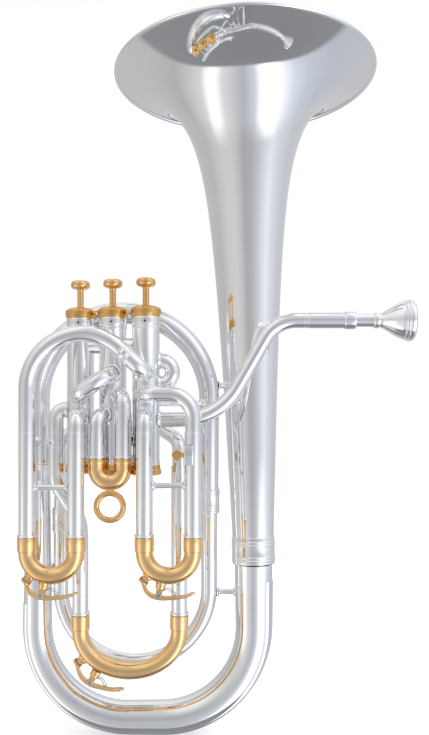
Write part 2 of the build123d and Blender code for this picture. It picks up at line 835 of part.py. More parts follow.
def body_braces():
    """Every soldered brace that ties the tubing together."""
    bow_left, bow_right = BOW_X
    arch_left, arch_right = ARCH_X
    low_left, low_right = BOW_BRACE_Z
    leg = SLIDE_3_X[0]
    pipe = rod(
        (LEADPIPE_BEND_X[0], VALVE_1_Y, LEADPIPE_Z),
        (LEADPIPE_BEND_X[1], VALVE_1_Y, RECEIVER_Z),
        TUBE_R,
    )
    pipe_x, pipe_z = PIPE_BRACE
    bell_side = (pipe_x, 10, BELL_BRACE_Z)
    return [
        leg_brace(SLIDE_3_X, SLIDE_3_BRACE_Z),
        leg_brace(SLIDE_1_X, SLIDE_1_BRACE_Z),
        brace((arch_right, 0, BELL_BRACE_Z), bell_side, [arch_solid, bell_body]),
        brace((arch_right, 0, low_right), (bow_right, 0, low_right), [inner_solid, bow_solid]),
        brace((bow_left, 0, low_left), (INNER_BOW_X[0], 0, low_left), [bow_solid, inner_solid]),
        brace(
            (leg, FRONT_Y, LEG_BRACE_Z),
            (arch_left, 0, LEG_BRACE_Z),
            [leg_blocks[leg], arch_solid],
        ),
        brace(
            (pipe_x, VALVE_1_Y, pipe_z), (pipe_x, 10, pipe_z), [pipe, bell_body], PIPE_BRACE_R
        ),
        brace(
            (*VALVES[1], CASING_BRACE_Z), (arch_right, 0, CASING_BRACE_Z), [blocks[1], arch_solid]
        ),
    ]


nodes["body_braces"] = body_braces()


def lyre_box():
    """The square socket on the first slide's right leg that a music lyre drops into."""
    low, high = LYRE_Z
    middle = Pos(LYRE_X, LYRE_Y, (low + high) / 2)
    box = middle * Box(LYRE_SIZE, LYRE_SIZE, high - low)
    box -= middle * Box(LYRE_SLOT, LYRE_SLOT, 2 * (high - low))
    hole = rod(
        (LYRE_X - LYRE_SIZE, LYRE_Y, LYRE_SCREW_Z),
        (LYRE_X, LYRE_Y, LYRE_SCREW_Z),
        LYRE_SCREW_R + 0.05,
    )
    return box - hole - leg_blocks[SLIDE_1_X[1]]


def lyre_screw():
    """The thumb screw of the lyre box: a threaded shank with a coin-shaped head."""
    tip, head = LYRE_X - LYRE_SLOT / 2 - 0.2, LYRE_X - LYRE_SIZE / 2 - 5.4
    half, z = LYRE_COIN_THICKNESS / 2, LYRE_SCREW_Z
    shank = rod((tip, LYRE_Y, z), (head + 1, LYRE_Y, z), LYRE_SCREW_R)
    coin = rod((head, LYRE_Y - half, z), (head, LYRE_Y + half, z), LYRE_COIN_R)
    collar = rod((head + 4, LYRE_Y, z), (head + 5.2, LYRE_Y, z), LYRE_SCREW_R + 0.9)
    return shank + coin + collar


nodes["lyre_box"] = lyre_box()
nodes["lyre_screw"] = lyre_screw()


# Water keys: a nipple under each big bow, closed by a sprung lever.


def water_key(name, slide, nipple_angle, pivot, spoon):
    """A water key under a bow's left bend: its mount and its sprung lever.

    The nipple's angle is measured down from the left. The pivot and the spoon are points in
    the bow's plane, from the centre of that bend.
    """
    xs, y, low = SLIDES[slide][:3]
    straight, depth = SLIDES[slide][5][2:]
    cx, cz = xs[0] + depth, low - SLIDE_GAP - straight
    outer = depth + BOW_TUBE_R
    a = math.radians(nipple_angle)

    def outwards(distance):
        """A point on the nipple's line, at a distance from the centre of the bend."""
        return (cx - math.cos(a) * distance, y, cz - math.sin(a) * distance)

    px, pz = cx + pivot[0], cz + pivot[1]
    sx, sz = cx + spoon[0], cz + spoon[1]
    nipple_end = outer + NIPPLE_HEIGHT
    nipple = rod(outwards(outer - 2.5), outwards(nipple_end), NIPPLE_R, NIPPLE_BORE_R)

    reach = math.hypot(*pivot)
    up_x, up_z = -pivot[0] / reach, -pivot[1] / reach

    def above_pivot(distance):
        """A point on the line from the pivot to the centre of the bend."""
        return (px + up_x * distance, y, pz + up_z * distance)

    surface = reach - outer
    saddle = rod(above_pivot(surface - SADDLE_HEIGHT), above_pivot(surface + 2.5), SADDLE_R)
    root_x, _, root_z = above_pivot(surface - SADDLE_HEIGHT + 1)
    top, root = Pos(px, pz) * Circle(EAR_R), Pos(root_x, root_z) * Circle(EAR_R)
    ear = make_hull([*top.edges(), *root.edges()])
    near, far = EAR_Y
    for start in (y - far, y + near):
        saddle += extrude(Plane.XZ.offset(-start) * ear, near - far)
    pin = rod((px, y - far - 1.1, pz), (px, y + far + 0.7, pz), KEY_PIN_R)
    pin += rod((px, y - far - 1.1, pz), (px, y - far, pz), KEY_PIN_R + 0.9)
    bow = nodes[f"{slide}_bow"]
    nodes[f"water_key_mount_{name}"] = [nipple - bow, saddle - pin - bow, pin]

    cork_low = nipple_end + 0.05
    cup_low = cork_low + CORK_THICKNESS
    elbow = outwards(cup_low + KEY_CUP_THICKNESS / 2)
    length = math.hypot(sx - px, sz - pz)
    along_x, along_z = (sx - px) / length, (sz - pz) / length
    line = [(elbow[0], elbow[2])]
    for ahead, lift in KEY_ARM:
        line.append((px + ahead * along_x - lift * along_z, pz + ahead * along_z + lift * along_x))
    line.append((sx, sz))
    arm = Plane.XZ.offset(-y) * trace(Polyline(*line), KEY_ARM_THICKNESS)
    lever = extrude(arm, KEY_ARM_HALF_WIDTH, both=True)
    lever += rod((px, y - near + 0.1, pz), (px, y + near - 0.1, pz), KEY_HUB_R)
    lever += rod(outwards(cup_low), outwards(cup_low + KEY_CUP_THICKNESS), KEY_CUP_R)
    lever -= rod((px, y - 2 * far, pz), (px, y + 2 * far, pz), KEY_PIN_R + 0.06)
    lever -= rod(outwards(nipple_end - 4), outwards(cup_low), KEY_CUP_R + 1)
    cork = rod(outwards(cork_low), outwards(cup_low), CORK_R)
    nodes[f"water_key_{name}"] = [lever, cork]


for key in ("1", "3"):
    water_key(key, f"slide_{key}", 50, (-7.5, -34.8), (22.2, -33.7))
water_key("main", "main_slide", 37, (-26.2, -43.8), (2.3, -51.0))


os.makedirs("parts", exist_ok=True)
for name, shape in nodes.items():
    solids = shape if isinstance(shape, list) else [shape]
    export_step(Compound([s for part in solids for s in part.solids()]), f"parts/{name}.step")
print(len(nodes), "nodes")
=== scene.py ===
"""Looks for a compensating baritone horn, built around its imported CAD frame.

Sizes are in millimetres, in the CAD's own frame, and become metres when a mesh is made.
"""

import math

import bmesh
import bpy
import numpy as np
from mathutils import Matrix, Vector


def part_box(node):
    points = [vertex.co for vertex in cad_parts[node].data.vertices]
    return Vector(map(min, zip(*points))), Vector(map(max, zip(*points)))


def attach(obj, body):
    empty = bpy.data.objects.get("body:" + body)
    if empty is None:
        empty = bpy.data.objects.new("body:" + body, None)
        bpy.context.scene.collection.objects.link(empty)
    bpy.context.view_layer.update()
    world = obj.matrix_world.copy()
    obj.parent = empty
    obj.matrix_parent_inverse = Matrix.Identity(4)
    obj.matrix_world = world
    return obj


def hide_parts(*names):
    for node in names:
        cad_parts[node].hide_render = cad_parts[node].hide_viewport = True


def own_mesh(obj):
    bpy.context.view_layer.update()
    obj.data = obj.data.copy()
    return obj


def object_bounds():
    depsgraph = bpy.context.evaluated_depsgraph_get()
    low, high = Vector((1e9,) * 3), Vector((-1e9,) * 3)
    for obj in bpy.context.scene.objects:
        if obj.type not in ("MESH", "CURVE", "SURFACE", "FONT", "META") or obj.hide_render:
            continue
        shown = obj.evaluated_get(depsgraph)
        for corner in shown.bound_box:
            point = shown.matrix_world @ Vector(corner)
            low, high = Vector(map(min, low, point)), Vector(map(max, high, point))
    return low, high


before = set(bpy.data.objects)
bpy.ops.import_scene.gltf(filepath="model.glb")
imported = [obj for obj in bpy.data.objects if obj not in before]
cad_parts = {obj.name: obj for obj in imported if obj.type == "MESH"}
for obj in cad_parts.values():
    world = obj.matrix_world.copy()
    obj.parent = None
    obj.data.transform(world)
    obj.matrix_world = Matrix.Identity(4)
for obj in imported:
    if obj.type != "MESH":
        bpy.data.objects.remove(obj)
cad_low, cad_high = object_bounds()

MM = 0.001
X, Y, Z = np.eye(3)


def box(node):
    """A CAD node's lowest and highest corners at rest, in millimetres."""
    low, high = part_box(node)
    return np.array(low) / MM, np.array(high) / MM


# ---------------------------------------------------------------- mesh tools


def unit(v):
    """A vector of length one."""
    v = np.asarray(v, float)
    return v / np.linalg.norm(v)


def smooth_curve(points, count):
    """Evenly spread points on a natural cubic spline through the given points."""
    p = np.asarray(points, float)
    t = np.concatenate([[0], np.cumsum(np.sqrt(np.linalg.norm(np.diff(p, axis=0), axis=1)))])
    n, h = len(p), np.diff(t)
    a = np.eye(n)
    rhs = np.zeros_like(p)
    for i in range(1, n - 1):
        a[i, i - 1 : i + 2] = h[i - 1], 2 * (h[i - 1] + h[i]), h[i]
        rhs[i] = 6 * ((p[i + 1] - p[i]) / h[i] - (p[i] - p[i - 1]) / h[i - 1])
    m = np.linalg.solve(a, rhs)
    out = []
    for s in np.linspace(0, t[-1], count):
        i = min(max(np.searchsorted(t, s) - 1, 0), n - 2)
        u, v = (t[i + 1] - s) / h[i], (s - t[i]) / h[i]
        bend = (u**3 - u) * m[i] + (v**3 - v) * m[i + 1]
        out.append(u * p[i] + v * p[i + 1] + bend * h[i] ** 2 / 6)
    return np.array(out)


def soften(points, size, steps=4, closed=True):
    """Rounds the corners of an outline with small curves."""
    p = [np.asarray(q, float) for q in points]
    out, n = [], len(p)
    for i, q in enumerate(p):
        if not closed and i in (0, n - 1):
            out.append(q)
            continue
        before, after = p[i - 1] - q, p[(i + 1) % n] - q
        b, a = np.linalg.norm(before), np.linalg.norm(after)
        cut = min(size, 0.45 * b, 0.45 * a)
        start, end = q + before / b * cut, q + after / a * cut
        for k in range(steps + 1):
            t = k / steps
            out.append((1 - t) ** 2 * start + 2 * t * (1 - t) * q + t * t * end)
    return out


def route(points, radii, arc_step=4.0):
    """Points and tangents along straight runs joined by tangent arcs."""
    p = [np.asarray(q, float) for q in points]
    places, ways = [p[0]], [unit(p[1] - p[0])]
    for q_in, q, q_out, r in zip(p, p[1:], p[2:], radii):
        d_in, d_out = unit(q - q_in), unit(q_out - q)
        turn = math.acos(np.clip(d_in @ d_out, -1, 1))
        start = q - d_in * r * math.tan(turn / 2)
        side = unit(d_out - d_in * (d_in @ d_out))
        centre = start + side * r
        steps = max(4, int(math.degrees(turn) / arc_step))
        for k in range(steps + 1):
            a = turn * k / steps
            places.append(centre - side * r * math.cos(a) + d_in * r * math.sin(a))
            ways.append(d_in * math.cos(a) + side * math.sin(a))
    places.append(p[-1])
    ways.append(unit(p[-1] - p[-2]))
    return np.array(places), np.array(ways)


def ways_along(places):
    """The direction of travel at each of a line's points."""
    ways = np.gradient(places, axis=0)
    return ways / np.linalg.norm(ways, axis=1)[:, None]


def thin_out(places, ways):
    """Drops points that repeat the one before."""
    steps = np.linalg.norm(np.diff(places, axis=0), axis=1)
    keep = np.concatenate([[True], steps > 1e-3])
    return places[keep], ways[keep]


def frames_along(places, ways, first_side):
    """A side vector for each point, carried along the run without twisting."""
    side = unit(first_side - ways[0] * (first_side @ ways[0]))
    sides = [side]
    for way in ways[1:]:
        side = unit(side - way * (side @ way))
        sides.append(side)
    return np.array(sides)


def full_turn(count):
    """Evenly spread angles round a circle."""
    return np.linspace(0, 2 * math.pi, count, endpoint=False)


def circle(radius, count):
    """A round outline of (side, up) points."""
    return [(radius * math.cos(a), radius * math.sin(a)) for a in full_turn(count)]


def solid(name, rings, loop_v=True, cap_ends=False):
    """A mesh object from rings of points; each ring is closed on itself."""
    rings = np.asarray(rings, float)
    m, n = rings.shape[:2]
    verts = rings.reshape(-1, 3) * MM
    i, j = np.meshgrid(np.arange(m if loop_v else m - 1), np.arange(n), indexing="ij")
    i2, j2 = (i + 1) % m, (j + 1) % n
    faces = np.stack([i * n + j, i * n + j2, i2 * n + j2, i2 * n + j], -1).reshape(-1, 4).tolist()
    if cap_ends:
        faces += [list(range(n))[::-1], list(range((m - 1) * n, m * n))]
    mesh = bpy.data.meshes.new(name)
    mesh.from_pydata(verts.tolist(), [], faces)
    return finish_mesh(name, mesh)


def finish_mesh(name, mesh, sharp=38):
    """Welds, orients and smooth-shades a mesh and links it as an object."""
    bm = bmesh.new()
    bm.from_mesh(mesh)
    bmesh.ops.remove_doubles(bm, verts=bm.verts, dist=1e-7)
    bmesh.ops.recalc_face_normals(bm, faces=bm.faces)
    bm.to_mesh(mesh)
    bm.free()
    mesh.shade_smooth()
    mesh.set_sharp_from_angle(angle=math.radians(sharp))
    obj = bpy.data.objects.new(name, mesh)
    bpy.context.scene.collection.objects.link(obj)
    return obj


def lathe(name, profile, origin, axis, segments=96, ripple=None):
    """A turned solid from a closed outline of (radius, height) points about an axis."""
    axis = unit(axis)
    side = unit(np.cross(Y, axis)) if abs(axis @ Y) < 0.9 else X
    other = np.cross(axis, side)
    angles = full_turn(segments)
    rings = []
    for r, h in profile:
        radius = np.full(segments, float(r))
        if ripple:
            radius = ripple(radius, h, angles)
        ring = radius[:, None] * (np.cos(angles)[:, None] * side + np.sin(angles)[:, None] * other)
        rings.append(ring + np.asarray(origin, float) + axis * h)
    return solid(name, rings)


def turned(name, outline, origin, axis, size, steps=4, segments=48, ripple=None):
    """A turned part with softened corners; its outline starts on the axis or is a closed ring."""
    closed = outline[0][0] > 0.1
    return lathe(name, soften(outline, size, steps, closed), origin, axis, segments, ripple)


def tube(name, places, ways, radii, wall=0.8, segments=56, first_side=Y):
    """A hollow tube along a run, with one radius or a steady taper."""
    places, ways = thin_out(places, ways)
    if abs(unit(first_side) @ ways[0]) > 0.9:
        first_side = X
    sides = frames_along(places, ways, np.asarray(first_side, float))
    lengths = np.concatenate([[0], np.cumsum(np.linalg.norm(np.diff(places, axis=0), axis=1))])
    share = lengths / lengths[-1]
    ends = radii if isinstance(radii, tuple) else (radii, radii)
    outer = ends[0] + (ends[1] - ends[0]) * share
    angles = full_turn(segments)

    def ring(i, r):
        up = np.cross(ways[i], sides[i])
        return places[i] + r * (np.cos(angles)[:, None] * sides[i] + np.sin(angles)[:, None] * up)

    rings = [ring(i, outer[i]) for i in range(len(places))]
    rings += [ring(i, outer[i] - wall) for i in reversed(range(len(places)))]
    return solid(name, rings)


def straight(start, end):
    """A straight run as places and ways."""
    start, end = np.asarray(start, float), np.asarray(end, float)
    way = unit(end - start)
    return np.array([start, end]), np.array([way, way])


def rod(name, start, end, radius, segments=40, edge=0.35):
    """A solid rod with slightly rounded ends."""
    start, end = np.asarray(start, float), np.asarray(end, float)
    length = np.linalg.norm(end - start)
    outline = [(0.001, 0), (radius - edge, 0), (radius, edge)]
    outline += [(radius, length - edge), (radius - edge, length), (0.001, length)]
    return turned(name, outline, start, end - start, edge, segments=segments)


def section_sweep(name, places, ways, sections, first_side=Y):
    """A solid swept with a changing outline of (side, up) points, capped at both ends."""
    sides = frames_along(places, ways, np.asarray(first_side, float))
    rings = []
    for place, way, side, outline in zip(places, ways, sides, sections):
        up = np.cross(way, side)
        rings.append([place + a * side + b * up for a, b in outline])
    return solid(name, rings, loop_v=False, cap_ends=True)


# ---------------------------------------------------------------- materials


def node(tree, kind, **values):
    """A shader node with some of its settings."""
    made = tree.nodes.new(kind)
    for key, value in values.items():
        setattr(made, key, value)
    return made


def ramp(tree, source, stops):
    """A colour ramp fed by a socket; stops are (place, colour)."""
    made = node(tree, "ShaderNodeValToRGB")
    tree.links.new(source, made.inputs["Fac"])
    elements = made.color_ramp.elements
    while len(elements) < len(stops):
        elements.new(0.5)
    for element, (place, colour) in zip(elements, stops):
        element.position = place
        element.color = (*colour, 1)
    return made.outputs["Color"]


def noise(tree, scale, detail=3.0, stretch=(1, 1, 1)):
    """Noise in object space, in metres, that may be stretched along an axis."""
    place = node(tree, "ShaderNodeTexCoord")
    mapping = node(tree, "ShaderNodeMapping")
    mapping.inputs["Scale"].default_value = stretch
    tree.links.new(place.outputs["Object"], mapping.inputs["Vector"])
    made = node(tree, "ShaderNodeTexNoise")
    made.inputs["Scale"].default_value = scale
    made.inputs["Detail"].default_value = detail
    tree.links.new(mapping.outputs["Vector"], made.inputs["Vector"])
    return made.outputs["Fac"]


def grey(value):
    """A neutral colour."""
    return (value, value, value)


def blank_material(name):
    """A new material with its node tree and its shader."""
    material = bpy.data.materials.new(name)
    material.use_nodes = True
    tree = material.node_tree
    return material, tree, tree.nodes["Principled BSDF"]


def emboss(tree, shader, height, strength, distance):
    """Gives a shader a bumpy surface from a height socket."""
    bump = node(tree, "ShaderNodeBump")
    bump.inputs["Strength"].default_value = strength
    bump.inputs["Distance"].default_value = distance
    tree.links.new(height, bump.inputs["Height"])
    tree.links.new(bump.outputs["Normal"], shader.inputs["Normal"])


def metal(name, colours, rough, haze_scale, grain_scale, grain_depth, stretch=(1, 1, 1)):
    """A metal with a drifting tone, uneven polish and a fine surface grain."""
    material, tree, shader = blank_material(name)
    shader.inputs["Metallic"].default_value = 1.0
    tone = noise(tree, haze_scale, 4)
    stops = [(0.3, colours[0]), (0.52, colours[1]), (0.72, colours[2])]
    tree.links.new(ramp(tree, tone, stops), shader.inputs["Base Color"])
    polish = noise(tree, haze_scale * 3.1, 6, stretch)
    stops = [(0.35, grey(rough[0])), (0.7, grey(rough[1]))]
    tree.links.new(ramp(tree, polish, stops), shader.inputs["Roughness"])
    emboss(tree, shader, noise(tree, grain_scale, 5, stretch), grain_depth, 0.0002)
    return material


SILVER = metal(
    "silver_plate",
    [(0.86, 0.868, 0.885), (0.92, 0.925, 0.935), grey(0.955)],
    rough=(0.035, 0.075), haze_scale=14, grain_scale=420, grain_depth=0.025,
)
BELL_SILVER = metal(
    "bell_silver_plate",
    [(0.87, 0.877, 0.89), (0.92, 0.925, 0.935), grey(0.95)],
    rough=(0.02, 0.045), haze_scale=7, grain_scale=260, grain_depth=0.012, stretch=(1, 1, 3),
)
GOLD = metal(
    "satin_gold_plate",
    [(0.91, 0.59, 0.26), (0.96, 0.64, 0.31), (0.99, 0.69, 0.36)],
    rough=(0.08, 0.15), haze_scale=30, grain_scale=1600, grain_depth=0.035,
)
# A deeper copy of the same gold plate, for the knurled valve caps: painted shade of the knurl's
# grooves.
GOLD_KNURL_PAINTED_SHADE = metal(
    "knurled_gold_painted_shade",
    [(0.76, 0.42, 0.12), (0.83, 0.49, 0.17), (0.89, 0.56, 0.23)],
    rough=(0.08, 0.15), haze_scale=30, grain_scale=1600, grain_depth=0.04,
)
# A deeper copy of the same gold plate, for the buttons, stems, pull ring and lyre screw: painted
# shade for their dark-edged look; their polish is the lower roughness.
GOLD_POLISHED_PAINTED_SHADE = metal(
    "polished_gold_painted_shade",
    [(0.84, 0.5, 0.18), (0.9, 0.56, 0.23), (0.95, 0.62, 0.29)],
    rough=(0.06, 0.11), haze_scale=30, grain_scale=1400, grain_depth=0.025,
)
NICKEL = metal(
    "drawn_nickel_silver",
    [(0.66, 0.64, 0.6), (0.72, 0.7, 0.66), (0.77, 0.75, 0.71)],
    rough=(0.16, 0.3), haze_scale=24, grain_scale=700, grain_depth=0.16, stretch=(1, 1, 0.06),
)
PISTON_METAL = metal(
    "lapped_piston_metal",
    [(0.56, 0.56, 0.57), (0.62, 0.62, 0.63), (0.68, 0.68, 0.69)],
    rough=(0.2, 0.34), haze_scale=26, grain_scale=900, grain_depth=0.2, stretch=(1, 1, 8),
)
STEEL = metal(
    "spring_steel",
    [(0.46, 0.47, 0.5), (0.55, 0.56, 0.58), (0.63, 0.64, 0.66)],
    rough=(0.16, 0.28), haze_scale=60, grain_scale=1500, grain_depth=0.12,
)
# Near-black metal for the vent holes and the screw slots: painted shade, drawn as thin dark rods
# where the real parts only have dark hollows.
RECESS_PAINTED_SHADE = metal(
    "recess_painted_shade",
    [grey(0.05), grey(0.07), grey(0.1)],
    rough=(0.5, 0.7), haze_scale=60, grain_scale=900, grain_depth=0.1,
)


def soft_material(name, colours, rough, scale, depth):
    """Cork or felt: mottled, rough and pitted."""
    material, tree, shader = blank_material(name)
    shader.inputs["Roughness"].default_value = rough
    mottle = noise(tree, scale, 6)
    stops = [(0.35, colours[0]), (0.5, colours[1]), (0.66, colours[2])]
    tree.links.new(ramp(tree, mottle, stops), shader.inputs["Base Color"])
    emboss(tree, shader, mottle, depth, 0.0004)
    return material


CORK = soft_material(
    "cork",
    [(0.16, 0.075, 0.03), (0.36, 0.19, 0.085), (0.5, 0.3, 0.15)],
    rough=0.85, scale=900, depth=0.7,
)
FELT = soft_material(
    "felt",
    [(0.5, 0.47, 0.42), (0.62, 0.59, 0.53), (0.72, 0.69, 0.63)],
    rough=0.95, scale=1400, depth=0.8,
)


def paint(obj, material):
    """Gives an object one material."""
    obj.data.materials.clear()
    obj.data.materials.append(material)


def piece(obj, body, material, slot, *nodes):
    """Finishes a piece: its material, the body it rides on, and the CAD nodes it stands for."""
    paint(obj, material)
    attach(obj, body)
    if nodes:
        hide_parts(*nodes)
    return obj


def silver(obj, *nodes, body="body", material=SILVER):
    """A silver-plated piece."""
    return piece(obj, body, material, "silver_plate", *nodes)


def gold(obj, body, *nodes, material=GOLD):
    """A gold-plated piece."""
    return piece(obj, body, material, "gold_plate", *nodes)


# ---------------------------------------------------------------- camera and light

HORN_MIDDLE = Vector((0, 0, 0.3))
CAMERA_PLACE = Vector((57.8, -699.0, 298.9)) * MM
SENSOR_WIDTH = 36
FOCAL_SHARE = 780 / 735
HORIZON_SHIFT = 32.5 / 735

camera = bpy.data.objects.new("camera", bpy.data.cameras.new("camera"))
bpy.context.scene.collection.objects.link(camera)
camera.location = CAMERA_PLACE
camera.rotation_euler = (math.radians(90), 0, 0)
camera.data.sensor_width = SENSOR_WIDTH
camera.data.lens = SENSOR_WIDTH * FOCAL_SHARE
camera.data.shift_y = HORIZON_SHIFT
camera.data.clip_start = 0.01
bpy.context.scene.camera = camera
bpy.context.scene.view_settings.view_transform = "Standard"


# The light tent's tones by direction, in degrees to the camera's right.
UPPER_TONES = [
    (-180, grey(0.58)),
    (-140, (0.53, 0.52, 0.51)),
    (-100, (0.51, 0.5, 0.49)),
    (-82, (0.58, 0.57, 0.56)),
    (-62, (0.64, 0.63, 0.62)),
    (-42, (0.66, 0.65, 0.64)),
    (-24, grey(0.56)),
    (-9, (0.43, 0.43, 0.45)),
    (8, (0.46, 0.46, 0.48)),
    (26, (0.57, 0.58, 0.63)),
    (42, (0.72, 0.74, 0.79)),
    (60, (0.86, 0.88, 0.93)),
    (74, (0.74, 0.76, 0.8)),
    (92, (0.66, 0.68, 0.73)),
    (115, (0.58, 0.6, 0.64)),
    (180, grey(0.58)),
]
LOWER_TONES = [
    (-180, (0.58, 0.57, 0.56)),
    (-140, (0.53, 0.52, 0.51)),
    (-118, grey(0.47)),
    (-98, grey(0.6)),
    (-80, (0.72, 0.72, 0.71)),
    (-66, (1.25, 1.24, 1.21)),
    (-56, (1.2, 1.19, 1.16)),
    (-42, (0.78, 0.77, 0.76)),
    (-10, (0.52, 0.53, 0.56)),
    (-3, (0.5, 0.51, 0.56)),
    (16, (0.68, 0.71, 0.77)),
    (30, (1.3, 1.32, 1.36)),
    (42, (2.1, 2.12, 2.15)),
    (54, (1.9, 1.92, 1.95)),
    (66, (1.05, 1.08, 1.14)),
    (84, (0.76, 0.8, 0.88)),
    (104, (0.6, 0.64, 0.72)),
    (130, (0.53, 0.55, 0.61)),
    (180, (0.58, 0.57, 0.56)),
]


def tent_ring(tree, share, tones):
    """One ring of the light tent."""
    stops = [(0.5 + degrees / 360, colour) for degrees, colour in tones]
    return ramp(tree, share, stops)


def socket(sockets, identifier):
    """A socket by its identifier, where several share a name."""
    return next(s for s in sockets if s.identifier == identifier)


def blend(tree, factor, low, high, mode="MIX"):
    """Mixes two colour sockets by a factor socket, or fully when there is none."""
    made = node(tree, "ShaderNodeMix", data_type="RGBA", blend_type=mode)
    if factor is None:
        socket(made.inputs, "Factor_Float").default_value = 1.0
    else:
        tree.links.new(factor, socket(made.inputs, "Factor_Float"))
    tree.links.new(low, socket(made.inputs, "A_Color"))
    tree.links.new(high, socket(made.inputs, "B_Color"))
    return socket(made.outputs, "Result_Color")


def studio():
    """A light tent as the world: tones by direction, and white behind for the camera."""
    world = bpy.data.worlds.new("tent")
    bpy.context.scene.world = world
    world.use_nodes = True
    tree = world.node_tree
    background = tree.nodes["Background"]
    place = node(tree, "ShaderNodeTexCoord")
    split = node(tree, "ShaderNodeSeparateXYZ")
    tree.links.new(place.outputs["Generated"], split.inputs["Vector"])
    flip = node(tree, "ShaderNodeMath", operation="MULTIPLY")
    flip.inputs[1].default_value = -1
    tree.links.new(split.outputs["Y"], flip.inputs[0])
    turn = node(tree, "ShaderNodeMath", operation="ARCTAN2")
    tree.links.new(split.outputs["X"], turn.inputs[0])
    tree.links.new(flip.outputs[0], turn.inputs[1])
    share = node(tree, "ShaderNodeMapRange")
    share.inputs["From Min"].default_value = -math.pi
    share.inputs["From Max"].default_value = math.pi
    tree.links.new(turn.outputs[0], share.inputs["Value"])
    height = map_height(tree, split.outputs["Z"])
    rings = blend(
        tree,
        ramp(tree, height, [(0.4, grey(0)), (0.49, grey(1))]),
        tent_ring(tree, share.outputs["Result"], LOWER_TONES),
        tent_ring(tree, share.outputs["Result"], UPPER_TONES),
    )
    lean = node(tree, "ShaderNodeMath", operation="MULTIPLY_ADD")
    lean.inputs[1].default_value = -0.14
    tree.links.new(split.outputs["Y"], lean.inputs[0])
    tree.links.new(split.outputs["Z"], lean.inputs[2])
    leaning = map_height(tree, lean.outputs[0])
    sides = ramp(tree, leaning, [(0.09, grey(0)), (0.104, grey(1))])
    under = ramp(tree, height, [(0.0, (0.255, 0.259, 0.275)), (0.2, (0.3, 0.303, 0.315))])
    tent = blend(tree, sides, under, rings)
    stops = [(0.55, grey(1.0)), (0.66, grey(1.12)), (0.8, grey(1.4)), (1.0, grey(1.65))]
    lit = blend(tree, None, tent, ramp(tree, height, stops), "MULTIPLY")
    seen = node(tree, "ShaderNodeLightPath")
    backdrop = node(tree, "ShaderNodeRGB")
    backdrop.outputs[0].default_value = (1, 1, 1, 1)
    shown = blend(tree, seen.outputs["Is Camera Ray"], lit, backdrop.outputs[0])
    tree.links.new(shown, background.inputs["Color"])
    background.inputs["Strength"].default_value = 1.0


def map_height(tree, source):
    """Turns a direction's height from -1 to 1 into 0 to 1."""
    share = node(tree, "ShaderNodeMapRange")
    share.inputs["From Min"].default_value = -1
    share.inputs["From Max"].default_value = 1
    tree.links.new(source, share.inputs["Value"])
    return share.outputs["Result"]


def softbox(name, place, size, power):
    """A large soft lamp that faces the middle of the horn."""
    lamp = bpy.data.lights.new(name, "AREA")
    lamp.shape = "RECTANGLE"
    lamp.size, lamp.size_y = size
    lamp.energy = power
    obj = bpy.data.objects.new(name, lamp)
    bpy.context.scene.collection.objects.link(obj)
    obj.location = place
    obj.rotation_euler = (HORN_MIDDLE - Vector(place)).to_track_quat("-Z", "Y").to_euler()
    obj.visible_glossy = False
    obj.visible_camera = False


def floor():
    """A plain pale floor just under the bottom bow."""
    bpy.ops.mesh.primitive_circle_add(vertices=128, radius=2.4, fill_type="NGON")
    obj = bpy.context.object
    obj.name = "floor"
    obj.location = (0.0, 0.0, cad_low[2] - 0.0005)
    material, _, shader = blank_material("floor")
    shader.inputs["Base Color"].default_value = (0.86, 0.86, 0.86, 1)
    shader.inputs["Roughness"].default_value = 0.9
    shader.inputs["Emission Color"].default_value = (1, 1, 1, 1)
    shader.inputs["Emission Strength"].default_value = 0.35
    obj.data.materials.append(material)
    obj.visible_glossy = False


studio()
floor()
softbox("key", place=(1.3, -0.9, 1.1), size=(0.5, 1.4), power=9)
softbox("fill", place=(-1.4, -1.0, 0.9), size=(0.9, 1.2), power=5)
softbox("top", place=(0.1, -0.3, 1.9), size=(1.4, 1.0), power=8)

# ---------------------------------------------------------------- shared sizes

TUBE_R = 6.3
LEG_R = 6.9
BOW_TUBE_R = 7.1
FERRULE_R = 8.0
SLIDE_2_FERRULE_R = 7.6
END_RING_R = 8.2
END_RING_LENGTH = 2.5
SLIDE_GAP = 0.3
CASING_R = 11.4
CAP_R = 12.9
STEM_R = 2.8
VALVE_BOXES = {n: box(f"valve_{n}_casing") for n in (1, 2, 3)}
VALVES = {n: tuple((low + high)[:2] / 2) for n, (low, high) in VALVE_BOXES.items()}


def slide_place(name):
    """A slide's leg positions: the two x, y, the ring line z and the tops of the fixed legs."""
    low, high = box(f"{name}_outer_legs")
    return (low[0] + LEG_R, high[0] - LEG_R), (low[1] + high[1]) / 2, low[2], high[2]


SLIDES = {name: slide_place(name) for name in ("slide_1", "slide_2", "slide_3", "main_slide")}
FRONT_Y = SLIDES["slide_1"][1]

# ---------------------------------------------------------------- bell

BELL_BASE = np.array([92.8, 0, 152.8])
BELL_RIM = np.array([86.0, 31.0, 600.9])
BELL_AXIS = unit(BELL_RIM - BELL_BASE)
BELL_LENGTH = np.linalg.norm(BELL_RIM - BELL_BASE)
BELL_RIM_R = 119.2
BELL_WALL = 0.8
BEAD_R = 1.55
BEAD_OFFSET = 0.4
BELL_THROAT_R = 16.45
BELL_TAPER = 0.0347
FLARE_POWER = 1.968
FLARE_START = 56.0
FLARE_GROWTH = BELL_RIM_R - BELL_THROAT_R - BELL_TAPER * BELL_LENGTH


def bell_radius(h):
    """The bell's outer radius at a distance below its rim: a slight taper and a power flare."""
    cone = BELL_THROAT_R + BELL_TAPER * (BELL_LENGTH - h)
    return cone + FLARE_GROWTH * (1 + h / FLARE_START) ** -FLARE_POWER


